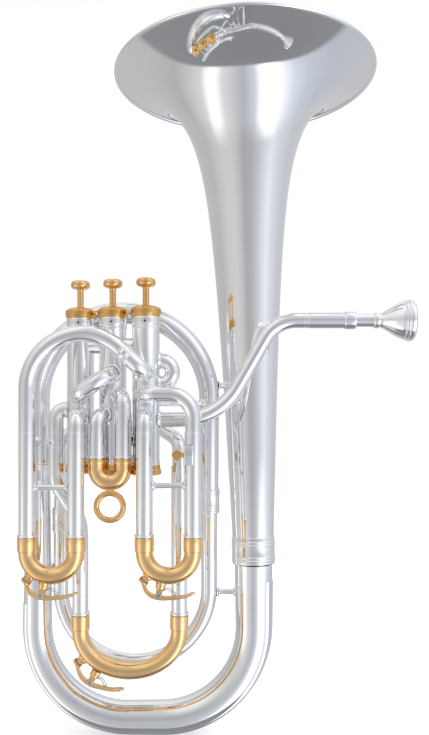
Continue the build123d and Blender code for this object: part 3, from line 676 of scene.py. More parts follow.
def bell():
    """The spun bell: one wall, from the throat to the rim."""
    h = BELL_LENGTH * np.linspace(0, 1, 190) ** 2
    outer = np.stack([bell_radius(h), BELL_LENGTH - h], 1)
    way = np.gradient(outer, axis=0)
    inward = np.stack([way[:, 1], -way[:, 0]], 1)
    inward /= np.linalg.norm(inward, axis=1)[:, None]
    inward *= np.where(inward[:, :1] > 0, -1, 1)
    inner = outer + inward * BELL_WALL
    inner[0, 1] = inner[-1, 1] = 0
    inner[0] = outer[0] + (-BELL_WALL, 0)
    inner[-1] = outer[-1] + (-BELL_WALL, 0)
    profile = list(outer) + list(inner[::-1])
    silver(lathe("bell_flare", profile, BELL_BASE, BELL_AXIS, 224), "bell", material=BELL_SILVER)


def bell_rim():
    """The bead that the bell's edge is rolled over."""
    middle = BELL_RIM_R + BEAD_OFFSET
    profile = [(middle + a, BELL_LENGTH + b) for a, b in circle(BEAD_R, 40)]
    silver(lathe("bell_rolled_rim", profile, BELL_BASE, BELL_AXIS, 256), "bell_rim_bead")


def turned_sleeve(name, origin, axis, length, bore, radius, rings, segments=96):
    """A ferrule: a sleeve with rounded ends and raised rings at the given shares."""
    outline = [(bore, 0), (radius - 0.35, 0), (radius, 0.5)]
    for share in rings:
        h = share * length
        outline += [(radius, h - 0.9), (radius + 0.55, h - 0.35), (radius + 0.55, h + 0.35)]
        outline.append((radius, h + 0.9))
    outline += [(radius, length - 0.5), (radius - 0.35, length), (bore, length)]
    return turned(name, outline, origin, axis, 0.3, segments=segments)


bell()
bell_rim()
bell_sleeve = turned_sleeve(
    "bell_ferrule_sleeve", BELL_BASE, BELL_AXIS,
    length=24, bore=16.0, radius=19.15, rings=(0.14, 0.26, 0.7, 0.82), segments=128,
)
silver(bell_sleeve, "bell_ferrule")

# ---------------------------------------------------------------- rear branch

BOW_X = (-100.4, 92.8)
BOW_CORNER_R = 81.6
BOW_BOTTOM_Z = 15.0
BOW_R = (10.9, 16.9)
ARCH_X = (-100.4, 53.0)
ARCH_BASE_Z = 300.0
ARCH_R = (10.9, 8.2)
INNER_BOW_X = (-79.8, 53.0)
INNER_BOW_BASE_Z = 131.0
INNER_BOW_R = (6.4, 7.3)
LEFT_JOINT_Z = 232.0
RIGHT_JOINT_Z = 209.0
RETURN_JOINT_Z = 192.0
RETURN_R = 6.0
GUARD_ENDS_Z = (118.0, 138.0)
GUARD_THICKNESS = 0.9
GUARD_HALF_ANGLE = 50
GUARD_EDGE_ANGLE = 6
JOINT_FERRULE_LENGTH = 22


def u_route(xs, tops, turn_z, corner_r, y=0.0):
    """A U-shaped run from one leg's end to the other's."""
    points = [(xs[0], tops[0]), (xs[0], turn_z), (xs[1], turn_z), (xs[1], tops[1])]
    return route([(x, y, z) for x, z in points], [corner_r, corner_r], 2.5)


def half_round(xs):
    """The radius of a bend that just fills the space between two legs."""
    return abs(xs[1] - xs[0]) / 2 - 0.05


bow_run = u_route(BOW_X, (LEFT_JOINT_Z, BELL_BASE[2]), BOW_BOTTOM_Z, BOW_CORNER_R)
silver(tube("bottom_bow_tube", *bow_run, BOW_R, segments=96), "bottom_bow")
arch_crest = ARCH_BASE_Z + half_round(ARCH_X)
arch_run = u_route(ARCH_X, (LEFT_JOINT_Z, RIGHT_JOINT_Z), arch_crest, half_round(ARCH_X))
silver(tube("rear_arch_tube", *arch_run, ARCH_R, segments=80), "rear_arch")
inner_low = INNER_BOW_BASE_Z - half_round(INNER_BOW_X)
inner_run = u_route(INNER_BOW_X, (RETURN_JOINT_Z, RIGHT_JOINT_Z), inner_low, half_round(INNER_BOW_X))
silver(tube("inner_bow_tube", *inner_run, INNER_BOW_R, segments=72), "inner_bow")


def bow_guard():
    """The guard strip along the bottom bow, with three raised ridges and rounded edges."""
    places, ways = u_route(BOW_X, GUARD_ENDS_Z, BOW_BOTTOM_Z, BOW_CORNER_R)
    lengths = np.concatenate([[0], np.cumsum(np.linalg.norm(np.diff(places, axis=0), axis=1))])
    whole = np.sum(np.linalg.norm(np.diff(bow_run[0], axis=0), axis=1))
    growth = (BOW_R[1] - BOW_R[0]) / whole
    first = BOW_R[0] + growth * (LEFT_JOINT_Z - GUARD_ENDS_Z[0])
    angles = np.linspace(-GUARD_HALF_ANGLE, GUARD_HALF_ANGLE, 61)
    sections = []
    for length in lengths:
        r = first + growth * length
        outline = []
        for a in angles:
            edge = min(1, (GUARD_HALF_ANGLE - abs(a)) / GUARD_EDGE_ANGLE)
            ridge = max(math.cos(math.radians(a * 9)), 0) ** 2
            lift = 0.1 + edge * (0.3 + 0.5 * ridge * GUARD_THICKNESS)
            s = math.radians(a)
            outline.append(((r + lift) * math.sin(s), -(r + lift) * math.cos(s)))
        for a in angles[::-1]:
            s = math.radians(a)
            outline.append(((r - 0.2) * math.sin(s), -(r - 0.2) * math.cos(s)))
        sections.append(outline)
    silver(section_sweep("bow_guard_strip", places, ways, sections), "bottom_bow_guard")


bow_guard()


def rear_ferrules():
    """The ringed sleeves between the bows."""
    joints = [
        ("left_ferrule", BOW_X[0], LEFT_JOINT_Z, BOW_R[0]),
        ("right_ferrule", ARCH_X[1], RIGHT_JOINT_Z, ARCH_R[1]),
        ("inner_bow_ferrule", INNER_BOW_X[0], RETURN_JOINT_Z, INNER_BOW_R[0]),
    ]
    for name, x, z, radius in joints:
        length, base = JOINT_FERRULE_LENGTH, (x, 0, z - JOINT_FERRULE_LENGTH / 2)
        rings = (0.13, 0.25, 0.75, 0.87)
        made = turned_sleeve(name, base, Z, length, radius - 1.5, radius + 0.95, rings)
        silver(made, "bow_ferrules")


rear_ferrules()

# ---------------------------------------------------------------- tubes at the valves

FRONT_PORT_Z = (286.0, 303.8, 322.0)
SLIDE_2_PORT_Z = (286.5, 303.0)
SLIDE_2_SEAM_Z = (271.0, 288.0)
CROOK_1_Z = (312.5, 332.0)
CROOK_1_REACH = 22.4
CROOK_2_Z = (321.0, 302.0)
CROOK_2_REACH = 25.0
CROOK_2_R = 6.9
LEADPIPE_Z = 282.3
LEADPIPE_BEND_X = (61.4, 109.2)
LEADPIPE_BEND_R = (55.0, 30.5)
EXIT_X = -79.2
EXIT_Z = 290.7
ELBOW_R = 6.4
LINK_Z = (266.0, 345.0)
SEAM_Z = SLIDES["slide_1"][3]


def run_tube(name, points, radii, radius, *nodes, segments=56):
    """A silver tube along runs and arcs."""
    silver(tube(name, *route(points, radii), radius, segments=segments), *nodes)


def inside_wall(valve, toward, z):
    """The point just inside a casing's wall where a tube from that way ends."""
    way = unit(np.array([toward[0], toward[1], 0.0]))
    return np.array([*VALVES[valve], z]) + way * (CASING_R - 1.5)


def port_collar(valve, toward, z, radius=TUBE_R):
    """The soldered collar where a tube meets a casing."""
    way = unit(np.array([toward[0], toward[1], 0.0]))
    start = np.array([*VALVES[valve], z]) + way * (CASING_R - 1.0)
    name = f"collar_{valve}_{round(z)}_{round(way[0] * 10) + 10}"
    outline = [(radius - 0.4, 0), (radius + 1.5, 0), (radius + 0.9, 1.9)]
    outline += [(radius + 0.1, 2.6), (radius - 0.4, 2.6)]
    silver(turned(name, outline, start, way, 0.5, segments=56))


def seam_ring(name, place, axis, radius=LEG_R):
    """A fine raised line round a tube, where two tubes are joined."""
    outline = [(radius - 0.3, -0.6), (radius + 0.18, -0.45)]
    outline += [(radius + 0.18, 0.45), (radius - 0.3, 0.6)]
    silver(turned(name, outline, place, axis, 0.2, segments=56))


x3_left, x3_right = SLIDES["slide_3"][0]
x1_left, x1_right = SLIDES["slide_1"][0]
x2_left, x2_right = SLIDES["slide_2"][0]
SLIDE_2_Y = SLIDES["slide_2"][1]
(v1, y1), (v2, y2), (v3, y3) = VALVES[1], VALVES[2], VALVES[3]
LEFT, RIGHT, FRONT = (-1, 0), (1, 0), (0, -1)

ARCH_TURN = (-33.0, FRONT_Y, 353.3)
ARCH_END = (v1, FRONT_Y, FRONT_PORT_Z[2])
arch_points = [
    (x3_left, FRONT_Y, SEAM_Z),
    (x3_left, FRONT_Y, ARCH_TURN[2]),
    ARCH_TURN,
    ARCH_END,
    inside_wall(1, FRONT, FRONT_PORT_Z[2]),
]
run_tube("front_arch_tube", arch_points, [45.5, 42, 10], LEG_R, "front_arch", segments=72)
arch_way = unit(np.array(ARCH_END) - np.array(ARCH_TURN))
arch_sleeve = turned_sleeve(
    "front_arch_sleeve", np.array(ARCH_END) - arch_way * 27, arch_way,
    length=10, bore=6.5, radius=7.2, rings=(0.25, 0.75),
)
silver(arch_sleeve, "front_arch_ferrule")

long_bend = [
    (x1_right, FRONT_Y, SEAM_Z),
    (x1_right, FRONT_Y, FRONT_PORT_Z[1]),
    (v1, FRONT_Y, FRONT_PORT_Z[1]),
    inside_wall(1, FRONT, FRONT_PORT_Z[1]),
]
run_tube("slide_1_long_bend", long_bend, [20, 9], ELBOW_R, "slide_elbows")


def elbow(name, valve, x, y, seam, port):
    """A tube that rises from a slide's leg and bends into a casing."""
    toward = (x - VALVES[valve][0], y - VALVES[valve][1])
    points = [(x, y, seam), (x, y, port), inside_wall(valve, toward, port)]
    run_tube(name, points, [9], ELBOW_R)
    port_collar(valve, toward, port)


elbow("slide_1_elbow", 1, x1_left, FRONT_Y, SEAM_Z, FRONT_PORT_Z[0])
elbow("slide_3_elbow", 3, x3_right, FRONT_Y, SEAM_Z, FRONT_PORT_Z[0])
for side, x, seam, port in zip("lr", (x2_left, x2_right), SLIDE_2_SEAM_Z, SLIDE_2_PORT_Z):
    elbow(f"slide_2_elbow_{side}", 2, x, SLIDE_2_Y, seam, port)

crook_low, crook_high = CROOK_1_Z
crook_bend = (crook_high - crook_low) / 2 - 0.05
crook_1 = [
    inside_wall(1, RIGHT, crook_low),
    (v1 + CROOK_1_REACH, y1, crook_low),
    (v1 + CROOK_1_REACH, y1, crook_high),
    inside_wall(1, RIGHT, crook_high),
]
run_tube("valve_1_crook_tube", crook_1, [crook_bend, crook_bend], TUBE_R, "valve_1_crook")
crook_2 = [
    inside_wall(2, FRONT, CROOK_2_Z[0]),
    (v2, y2 - CROOK_2_REACH, CROOK_2_Z[0]),
    (v3, y3 - CROOK_2_REACH, CROOK_2_Z[1]),
    inside_wall(3, FRONT, CROOK_2_Z[1]),
]
run_tube("valve_2_crook_tube", crook_2, [14, 14], CROOK_2_R, "valve_2_crook")
main_x, MAIN_Y, _, MAIN_TOP_Z = SLIDES["main_slide"]
exit_points = [
    inside_wall(3, LEFT, EXIT_Z),
    (EXIT_X, y3, EXIT_Z),
    (EXIT_X, y3, 226),
    (main_x[0], MAIN_Y, 195),
    (main_x[0], MAIN_Y, 182),
]
run_tube("valve_3_exit_run", exit_points, [8.5, 28, 28], TUBE_R + 0.2, "valve_3_exit_tube")
return_points = [
    (main_x[1], MAIN_Y, MAIN_TOP_Z),
    (main_x[1], MAIN_Y, 264),
    (6, -3, 276),
    (INNER_BOW_X[0], 0, 273),
    (INNER_BOW_X[0], 0, RETURN_JOINT_Z),
]
run_tube("return_run", return_points, [13, 20, 22], RETURN_R, "return_tube")
for a, b in ((1, 2), (2, 3)):
    step = np.array(VALVES[b]) - np.array(VALVES[a])
    for z in LINK_Z:
        run = straight(inside_wall(a, step, z), inside_wall(b, -step, z))
        silver(tube(f"valve_link_{a}_{round(z)}", *run, TUBE_R), "valve_link_tubes")

for valve, toward, z in (
    (1, RIGHT, LEADPIPE_Z),
    (1, RIGHT, CROOK_1_Z[0]),
    (1, RIGHT, CROOK_1_Z[1]),
    (1, FRONT, FRONT_PORT_Z[1]),
    (1, FRONT, FRONT_PORT_Z[2]),
    (3, LEFT, EXIT_Z),
):
    port_collar(valve, toward, z)
port_collar(2, FRONT, CROOK_2_Z[0], CROOK_2_R)
port_collar(3, FRONT, CROOK_2_Z[1], CROOK_2_R)

for name, x in (("3l", x3_left), ("3r", x3_right), ("1l", x1_left), ("1r", x1_right)):
    seam_ring(f"seam_{name}", (x, FRONT_Y, SEAM_Z), Z)
for z in (258, 271):
    seam_ring(f"seam_exit_{z}", (EXIT_X, y3, z), Z, TUBE_R + 0.2)

# ---------------------------------------------------------------- leadpipe and mouthpiece

receiver_low, receiver_high = box("mouthpiece_receiver")
RECEIVER_Z = (receiver_low[2] + receiver_high[2]) / 2
RECEIVER_X = (receiver_low[0], receiver_high[0])
MOUTH_END_X = box("mouthpiece")[1][0]
SHANK_DEPTH = 24.0
# Outlines past the plain part, round the end and back inside: radius, and depth from the end.
RECEIVER_PROFILE = (
    (6.6, 10.2), (6.8, 9.6), (7.4, 8.4), (7.45, 4.5), (7.3, 1.2), (6.7, 0), (5.5, 0),
    (5.0, SHANK_DEPTH), (5.6, SHANK_DEPTH + 2),
)
MOUTHPIECE_PROFILE = (
    (5.5, 34), (6.4, 33.2), (6.6, 31.5), (6.4, 29.6), (5.7, 28.8), (6.4, 26.8), (8.6, 23),
    (12.2, 17.2), (15.0, 11.6), (15.6, 9.6), (15.3, 9.2), (16.5, 8.2), (16.7, 6.6), (16.4, 6.1),
    (17.4, 5.2), (17.5, 3.4), (16.9, 1.2), (15.2, 0), (13.6, 0.4), (12.6, 1.8), (12.2, 5),
    (11.9, 9), (10.4, 15), (7.6, 20.5), (4.6, 25), (3.4, 27.5), (3.3, 31), (3.6, 50),
)

pipe_points = [
    (RECEIVER_X[0] + 4, y1, RECEIVER_Z),
    (LEADPIPE_BEND_X[1], y1, RECEIVER_Z),
    (LEADPIPE_BEND_X[0], y1, LEADPIPE_Z),
    inside_wall(1, RIGHT, LEADPIPE_Z),
]
run_tube("leadpipe_run", pipe_points, LEADPIPE_BEND_R[::-1], TUBE_R, "leadpipe", segments=72)


def receiver():
    """The mouthpiece receiver: a sleeve that ends in a rounded ball ring."""
    length = RECEIVER_X[1] - RECEIVER_X[0]
    outline = [(5.6, 0.2), (6.3, 0), (6.6, 0.8)]
    outline += [(r, length - depth) for r, depth in RECEIVER_PROFILE]
    place = (RECEIVER_X[0], y1, RECEIVER_Z)
    silver(turned("receiver_sleeve", outline, place, X, 0.7, segments=80), "mouthpiece_receiver")


def mouthpiece():
    """The cup mouthpiece with its ringed throat, turned bands and broad round rim."""
    start = RECEIVER_X[1] - SHANK_DEPTH + 0.5
    length = MOUTH_END_X - start
    outline = [(4.3, 0), (4.8, 0), (5.3, SHANK_DEPTH)]
    outline += [(r, length - depth) for r, depth in MOUTHPIECE_PROFILE]
    obj = turned("mouthpiece_cup", outline, (start, y1, RECEIVER_Z), X, 0.8, 5, 128)
    silver(obj, "mouthpiece", body="mouthpiece", material=BELL_SILVER)


receiver()
mouthpiece()
seam_ring("leadpipe_seam", (RECEIVER_X[0] - 3, y1, RECEIVER_Z), X, TUBE_R)

# ---------------------------------------------------------------- valves

TEETH = 84
BAND_Z = (359.6, 369.1)
VENT_Z = 364.9
VENT_R = 0.95
CASING_BORE_R = 9.9


def knurl(low, high, depth=0.28):
    """Fine upright teeth on a turned band between two heights."""

    def ripple(radius, h, angles):
        if not low <= h <= high:
            return radius
        return radius - depth * (0.5 + 0.5 * np.cos(angles * TEETH))

    return ripple


def casing(valve):
    """A valve casing with its rings, top band and bottom thread collar."""
    low, high = VALVE_BOXES[valve][0][2], VALVE_BOXES[valve][1][2]
    r = CASING_R
    outline = [(CASING_BORE_R, low), (r, low), (r, low + 3.6), (r + 0.35, low + 4)]
    outline += [(r + 0.35, low + 6.6), (r, low + 7), (r, BAND_Z[0] - 0.4)]
    outline += [(r + 0.5, BAND_Z[0]), (r + 0.5, BAND_Z[0] + 1)]
    outline += [(r + 0.1, BAND_Z[0] + 1.4), (r + 0.1, BAND_Z[0] + 2.4), (r + 0.5, BAND_Z[0] + 2.7)]
    outline += [(r + 0.5, BAND_Z[1] - 1), (r + 0.2, BAND_Z[1] - 0.3), (r, BAND_Z[1])]
    outline += [(r, high), (CASING_BORE_R, high)]
    x, y = VALVES[valve]
    obj = turned(f"casing_{valve}", outline, (x, y, 0), Z, 0.18, 2, 96)
    silver(obj, f"valve_{valve}_casing")
    # The vent hole is drawn as a short near-black rod: painted shade for the hole's dark inside.
    vent_painted_shade = (x, y - r - 0.6, VENT_Z), (x, y - r + 0.8, VENT_Z)
    hole = rod(f"casing_{valve}_vent", *vent_painted_shade, VENT_R, 24, 0.1)
    piece(hole, "body", RECESS_PAINTED_SHADE, "silver_plate")


def top_cap(valve, low, high):
    """The domed top cap with its knurled band and lower lip."""
    outline = [(11.3, low), (11.8, low), (12.1, low + 0.4), (12.1, low + 1.4), (12.5, low + 1.9)]
    band_low, band_high = low + 2.2, high - 3.6
    outline += [(CAP_R, band_low), (CAP_R, band_high), (12.6, high - 3.2)]
    outline += [(11.9, high - 2.5), (9.6, high - 1.2), (6.0, high - 0.3), (4.6, high), (3.6, high)]
    outline += [(3.3, high - 0.6), (3.3, high - 6), (11.3, high - 6)]
    teeth = knurl(band_low + 0.3, band_high - 0.3)
    name, place = f"top_cap_{valve}", (*VALVES[valve], 0)
    obj = turned(name, outline, place, Z, 0.35, 3, TEETH * 4, teeth)
    gold(obj, "body", "top_valve_caps", material=GOLD_KNURL_PAINTED_SHADE)


def bottom_cap(valve, low, high):
    """The bottom cap: a plain collar over a knurled foot."""
    outline = [(0.01, low + 0.9), (3.0, low + 0.8), (9.8, low + 0.5), (10.6, low), (12.0, low)]
    outline += [(CAP_R - 0.3, low + 0.5), (CAP_R, low + 1.0), (CAP_R, low + 4.2)]
    outline += [(CAP_R - 0.4, low + 4.7), (12.1, low + 5.1), (12.1, high - 0.5)]
    outline += [(11.8, high), (11.45, high)]
    outline += [(11.45, low + 4.7), (9.4, low + 4.7), (9.4, low + 1.7), (0.01, low + 1.7)]
    name, place = f"bottom_cap_{valve}", (*VALVES[valve], 0)
    obj = turned(name, outline, place, Z, 0.3, 3, TEETH * 4, knurl(low + 1.1, low + 4.1))
    gold(obj, "body", "bottom_valve_caps", material=GOLD_KNURL_PAINTED_SHADE)


def button(valve):
    """A finger button: a full round edge, a shallow dish on top and a flared foot."""
    low, high = box(f"finger_button_{valve}")
    base, top = low[2], high[2]
    outline = [(0.01, base), (3.0, base), (3.3, base + 0.4), (4.6, base + 0.8), (6.6, base + 1.3)]
    outline += [(7.7, base + 2.2), (8.15, base + 3.4), (8.2, base + 4.6), (8.0, base + 5.9)]
    outline += [(7.4, top - 0.9), (6.4, top - 0.2), (5.2, top), (3.6, top - 0.3), (0.01, top - 0.6)]
    obj = turned(f"button_{valve}", outline, (*VALVES[valve], 0), Z, 0.9, 5, 96)
    gold(obj, f"piston_{valve}_set", f"finger_button_{valve}", material=GOLD_POLISHED_PAINTED_SHADE)


def stem(valve):
    """The plain stem between piston and button."""
    low, high = box(f"piston_stem_{valve}")
    outline = [(0.01, low[2]), (STEM_R - 0.4, low[2]), (STEM_R, low[2] + 0.4)]
    outline += [(STEM_R, high[2] - 0.8), (STEM_R + 0.3, high[2]), (0.01, high[2])]
    obj = turned(f"stem_{valve}", outline, (*VALVES[valve], 0), Z, 0.25, 3, 64)
    gold(obj, f"piston_{valve}_set", f"piston_stem_{valve}", material=GOLD_POLISHED_PAINTED_SHADE)


def spring(valve):
    """The coil spring under a piston."""
    low, high = box(f"piston_spring_{valve}")
    length = high[2] - low[2]
    turns, wire_r, r = 7, 0.42, 6.5
    count = turns * 36
    t = np.linspace(0, 1, count)
    a = 2 * math.pi * turns * t
    z = low[2] + wire_r + (length - 2 * wire_r) * t
    x, y = VALVES[valve]
    places = np.stack([x + r * np.cos(a), y + r * np.sin(a), z], 1)
    outlines = [circle(wire_r, 8)] * count
    obj = section_sweep(f"coil_spring_{valve}", places, ways_along(places), outlines, Z)
    piece(obj, f"piston_{valve}_set", STEEL, "spring_steel", f"piston_spring_{valve}")
    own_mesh(obj)


top_low, top_high = box("top_valve_caps")
bottom_low, bottom_high = box("bottom_valve_caps")
for valve in (1, 2, 3):
    casing(valve)
    top_cap(valve, top_low[2], top_high[2])
    bottom_cap(valve, bottom_low[2], bottom_high[2])
    button(valve)
    stem(valve)
    spring(valve)
    paint(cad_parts[f"piston_{valve}"], PISTON_METAL)
paint(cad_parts["valve_felts"], FELT)

# ---------------------------------------------------------------- slides

INNER_LEG_R = 6.13
FRONT_TOPS = (SEAM_Z, SEAM_Z)
SLIDE_TOPS = {
    "slide_1": FRONT_TOPS,
    "slide_2": SLIDE_2_SEAM_Z,
    "slide_3": FRONT_TOPS,
    "main_slide": (183.0, MAIN_TOP_Z),
}
# Each slide's bow: ferrule radius and length, the straight run of its ends, and its bend's depth.
FRONT_BOW = (FERRULE_R, 11.9, 11.9, 19.3)
BOWS = {
    "slide_1": FRONT_BOW,
    "slide_2": (SLIDE_2_FERRULE_R, 5.6, 8.4, half_round(SLIDES["slide_2"][0])),
    "slide_3": FRONT_BOW,
    "main_slide": (FERRULE_R, 13.2, 13.2, 35.1),
}


def slide_legs(name):
    """A slide's fixed legs with their end rings, and its moving legs."""
    xs, y, low, _ = SLIDES[name]
    inner_low, inner_high = box(f"{name}_inner_legs")
    bead = [(LEG_R - 0.4, 0), (END_RING_R - 0.5, 0), (END_RING_R, 0.5)]
    bead += [(END_RING_R, END_RING_LENGTH - 0.5), (END_RING_R - 0.5, END_RING_LENGTH)]
    bead += [(LEG_R - 0.4, END_RING_LENGTH)]
    for side, x, top in zip("lr", xs, SLIDE_TOPS[name]):
        leg = tube(f"{name}_leg_{side}", *straight((x, y, low), (x, y, top)), LEG_R, wall=0.5)
        silver(leg, f"{name}_outer_legs")
        end_ring = turned(f"{name}_end_ring_{side}", bead, (x, y, low), Z, 0.35, segments=72)
        silver(end_ring, "slide_end_rings")
        reach = min(inner_high[2], top - 1.0)
        run = straight((x, y, inner_low[2]), (x, y, reach))
        moving = tube(f"{name}_inner_{side}", *run, INNER_LEG_R, wall=0.6)
        piece(moving, name, NICKEL, "nickel_silver", f"{name}_inner_legs")


def bow_route(xs, y, top, bend_top, depth):
    """A bow's centre line: two straight ends and half an ellipse between them."""
    middle, half = (xs[0] + xs[1]) / 2, (xs[1] - xs[0]) / 2
    places, ways = [np.array([xs[0], y, top])], [-Z]
    for t in np.linspace(0, math.pi, 61):
        c, s = math.cos(t), math.sin(t)
        places.append(np.array([middle - half * c, y, bend_top - depth * s]))
        ways.append(unit(np.array([half * s, 0, -depth * c])))
    return np.array([*places, (xs[1], y, top)]), np.array([*ways, Z])


def slide_bow(name):
    """A slide's gold bow with a wide ferrule on each end."""
    xs, y, low, _ = SLIDES[name]
    radius, length, straight_run, depth = BOWS[name]
    top = low - SLIDE_GAP
    run = bow_route(xs, y, top - 2, top - straight_run, depth)
    gold(tube(f"{name}_gold_bow", *run, BOW_TUBE_R, wall=1.0, segments=72), name, f"{name}_bow")
    step = radius - 0.35
    outline = [(6.4, 0.2), (BOW_TUBE_R + 0.1, 0.2), (step, 0.4), (step, 1.1), (radius, 1.4)]
    outline += [(radius, length - 0.5), (radius - 0.4, length), (6.4, length)]
    for side, x in zip("lr", xs):
        place = (x, y, top - length)
        gold(turned(f"{name}_ferrule_{side}", outline, place, Z, 0.15, 3, 72), name)


for name in SLIDES:
    slide_legs(name)
    slide_bow(name)

RING_R = 11.2
RING_WIRE_R = 2.45


def finger_ring():
    """The pull ring on the second slide, with a short turned neck."""
    low, high = box("pull_ring")
    xs, y, _, _ = SLIDES["slide_2"]
    centre = np.array([sum(xs) / 2, y, low[2] + RING_R + RING_WIRE_R])
    rings = []
    for a in full_turn(96):
        side = math.cos(a) * X + math.sin(a) * Z
        place = centre + RING_R * side
        rings.append([place + a * side + b * Y for a, b in circle(RING_WIRE_R, 32)])
    gold(solid("pull_ring_hoop", rings), "slide_2", "pull_ring", material=GOLD_POLISHED_PAINTED_SHADE)
    neck = [(0.01, 12.6), (3.2, 12.6), (2.5, 13.6), (3.2, 15.0), (3.4, 16.2), (0.01, 16.2)]
    gold(turned("pull_ring_neck", neck, centre, Z, 0.4, 3), "slide_2")


finger_ring()

# ---------------------------------------------------------------- water keys


def ribbon(name, points, widths, thicknesses, y, count=72):
    """A bar bent in an upright plane, whose width across the plane and thickness may change."""
    stops = zip(points, widths, thicknesses)
    line = smooth_curve([(x, z, w, t) for (x, z), w, t in stops], count)
    places = np.stack([line[:, 0], np.full(count, y), line[:, 1]], 1)
    ways = ways_along(places)
    sections = []
    for width, thickness in line[:, 2:]:
        half, t = width / 2, thickness / 2
        corner = soften([(-half, -t), (half, -t), (half, t), (-half, t)], min(half, t) * 0.7, 4)
        sections.append([tuple(c) for c in corner])
    return section_sweep(name, places, ways, sections)


def wire(name, points, r, count=120):
    """A round wire along a smooth line."""
    places = smooth_curve(points, count)
    ways = ways_along(places)
    first_side = Y if abs(ways[0] @ Y) < 0.8 else X
    return section_sweep(name, places, ways, [circle(r, 12)] * count, first_side)


NIPPLE_HEIGHT = 2.6
CORK_R = 4.0
CORK_THICKNESS = 1.9
KEY_CUP_R = 4.4
KEY_CUP_THICKNESS = 2.0
KEY_HUB_R = 2.4
EAR_R = 2.5
EAR_MIDDLE = 3.25
SADDLE_R = 4.4
SADDLE_HEIGHT = 4.2
SCREW_HEAD_R = 2.3
# The lever from its pivot towards its spoon: ahead, lift, width and thickness.
KEY_ARM = (
    (-9.4, 2.2, 3.8, 3.8),
    (0.0, -2.5, 4.4, 4.0),
    (8.0, -3.1, 4.4, 3.4),
    (15.0, -3.0, 4.6, 2.9),
    (22.0, -2.0, 6.0, 2.2),
)
# The spring's two wires and the loop that joins them, in the same frame.
KEY_SPRING = (
    (2.2, 4.0),
    (6.0, 5.2),
    (9.4, 4.9),
    (12.6, 1.9),
    (14.2, 0.2),
    (13.2, -0.6),
    (11.4, 0.7),
    (8.6, 3.4),
    (6.0, 3.9),
    (2.2, 2.6),
)
# The spring wire's radius.
KEY_WIRE_R = 0.42


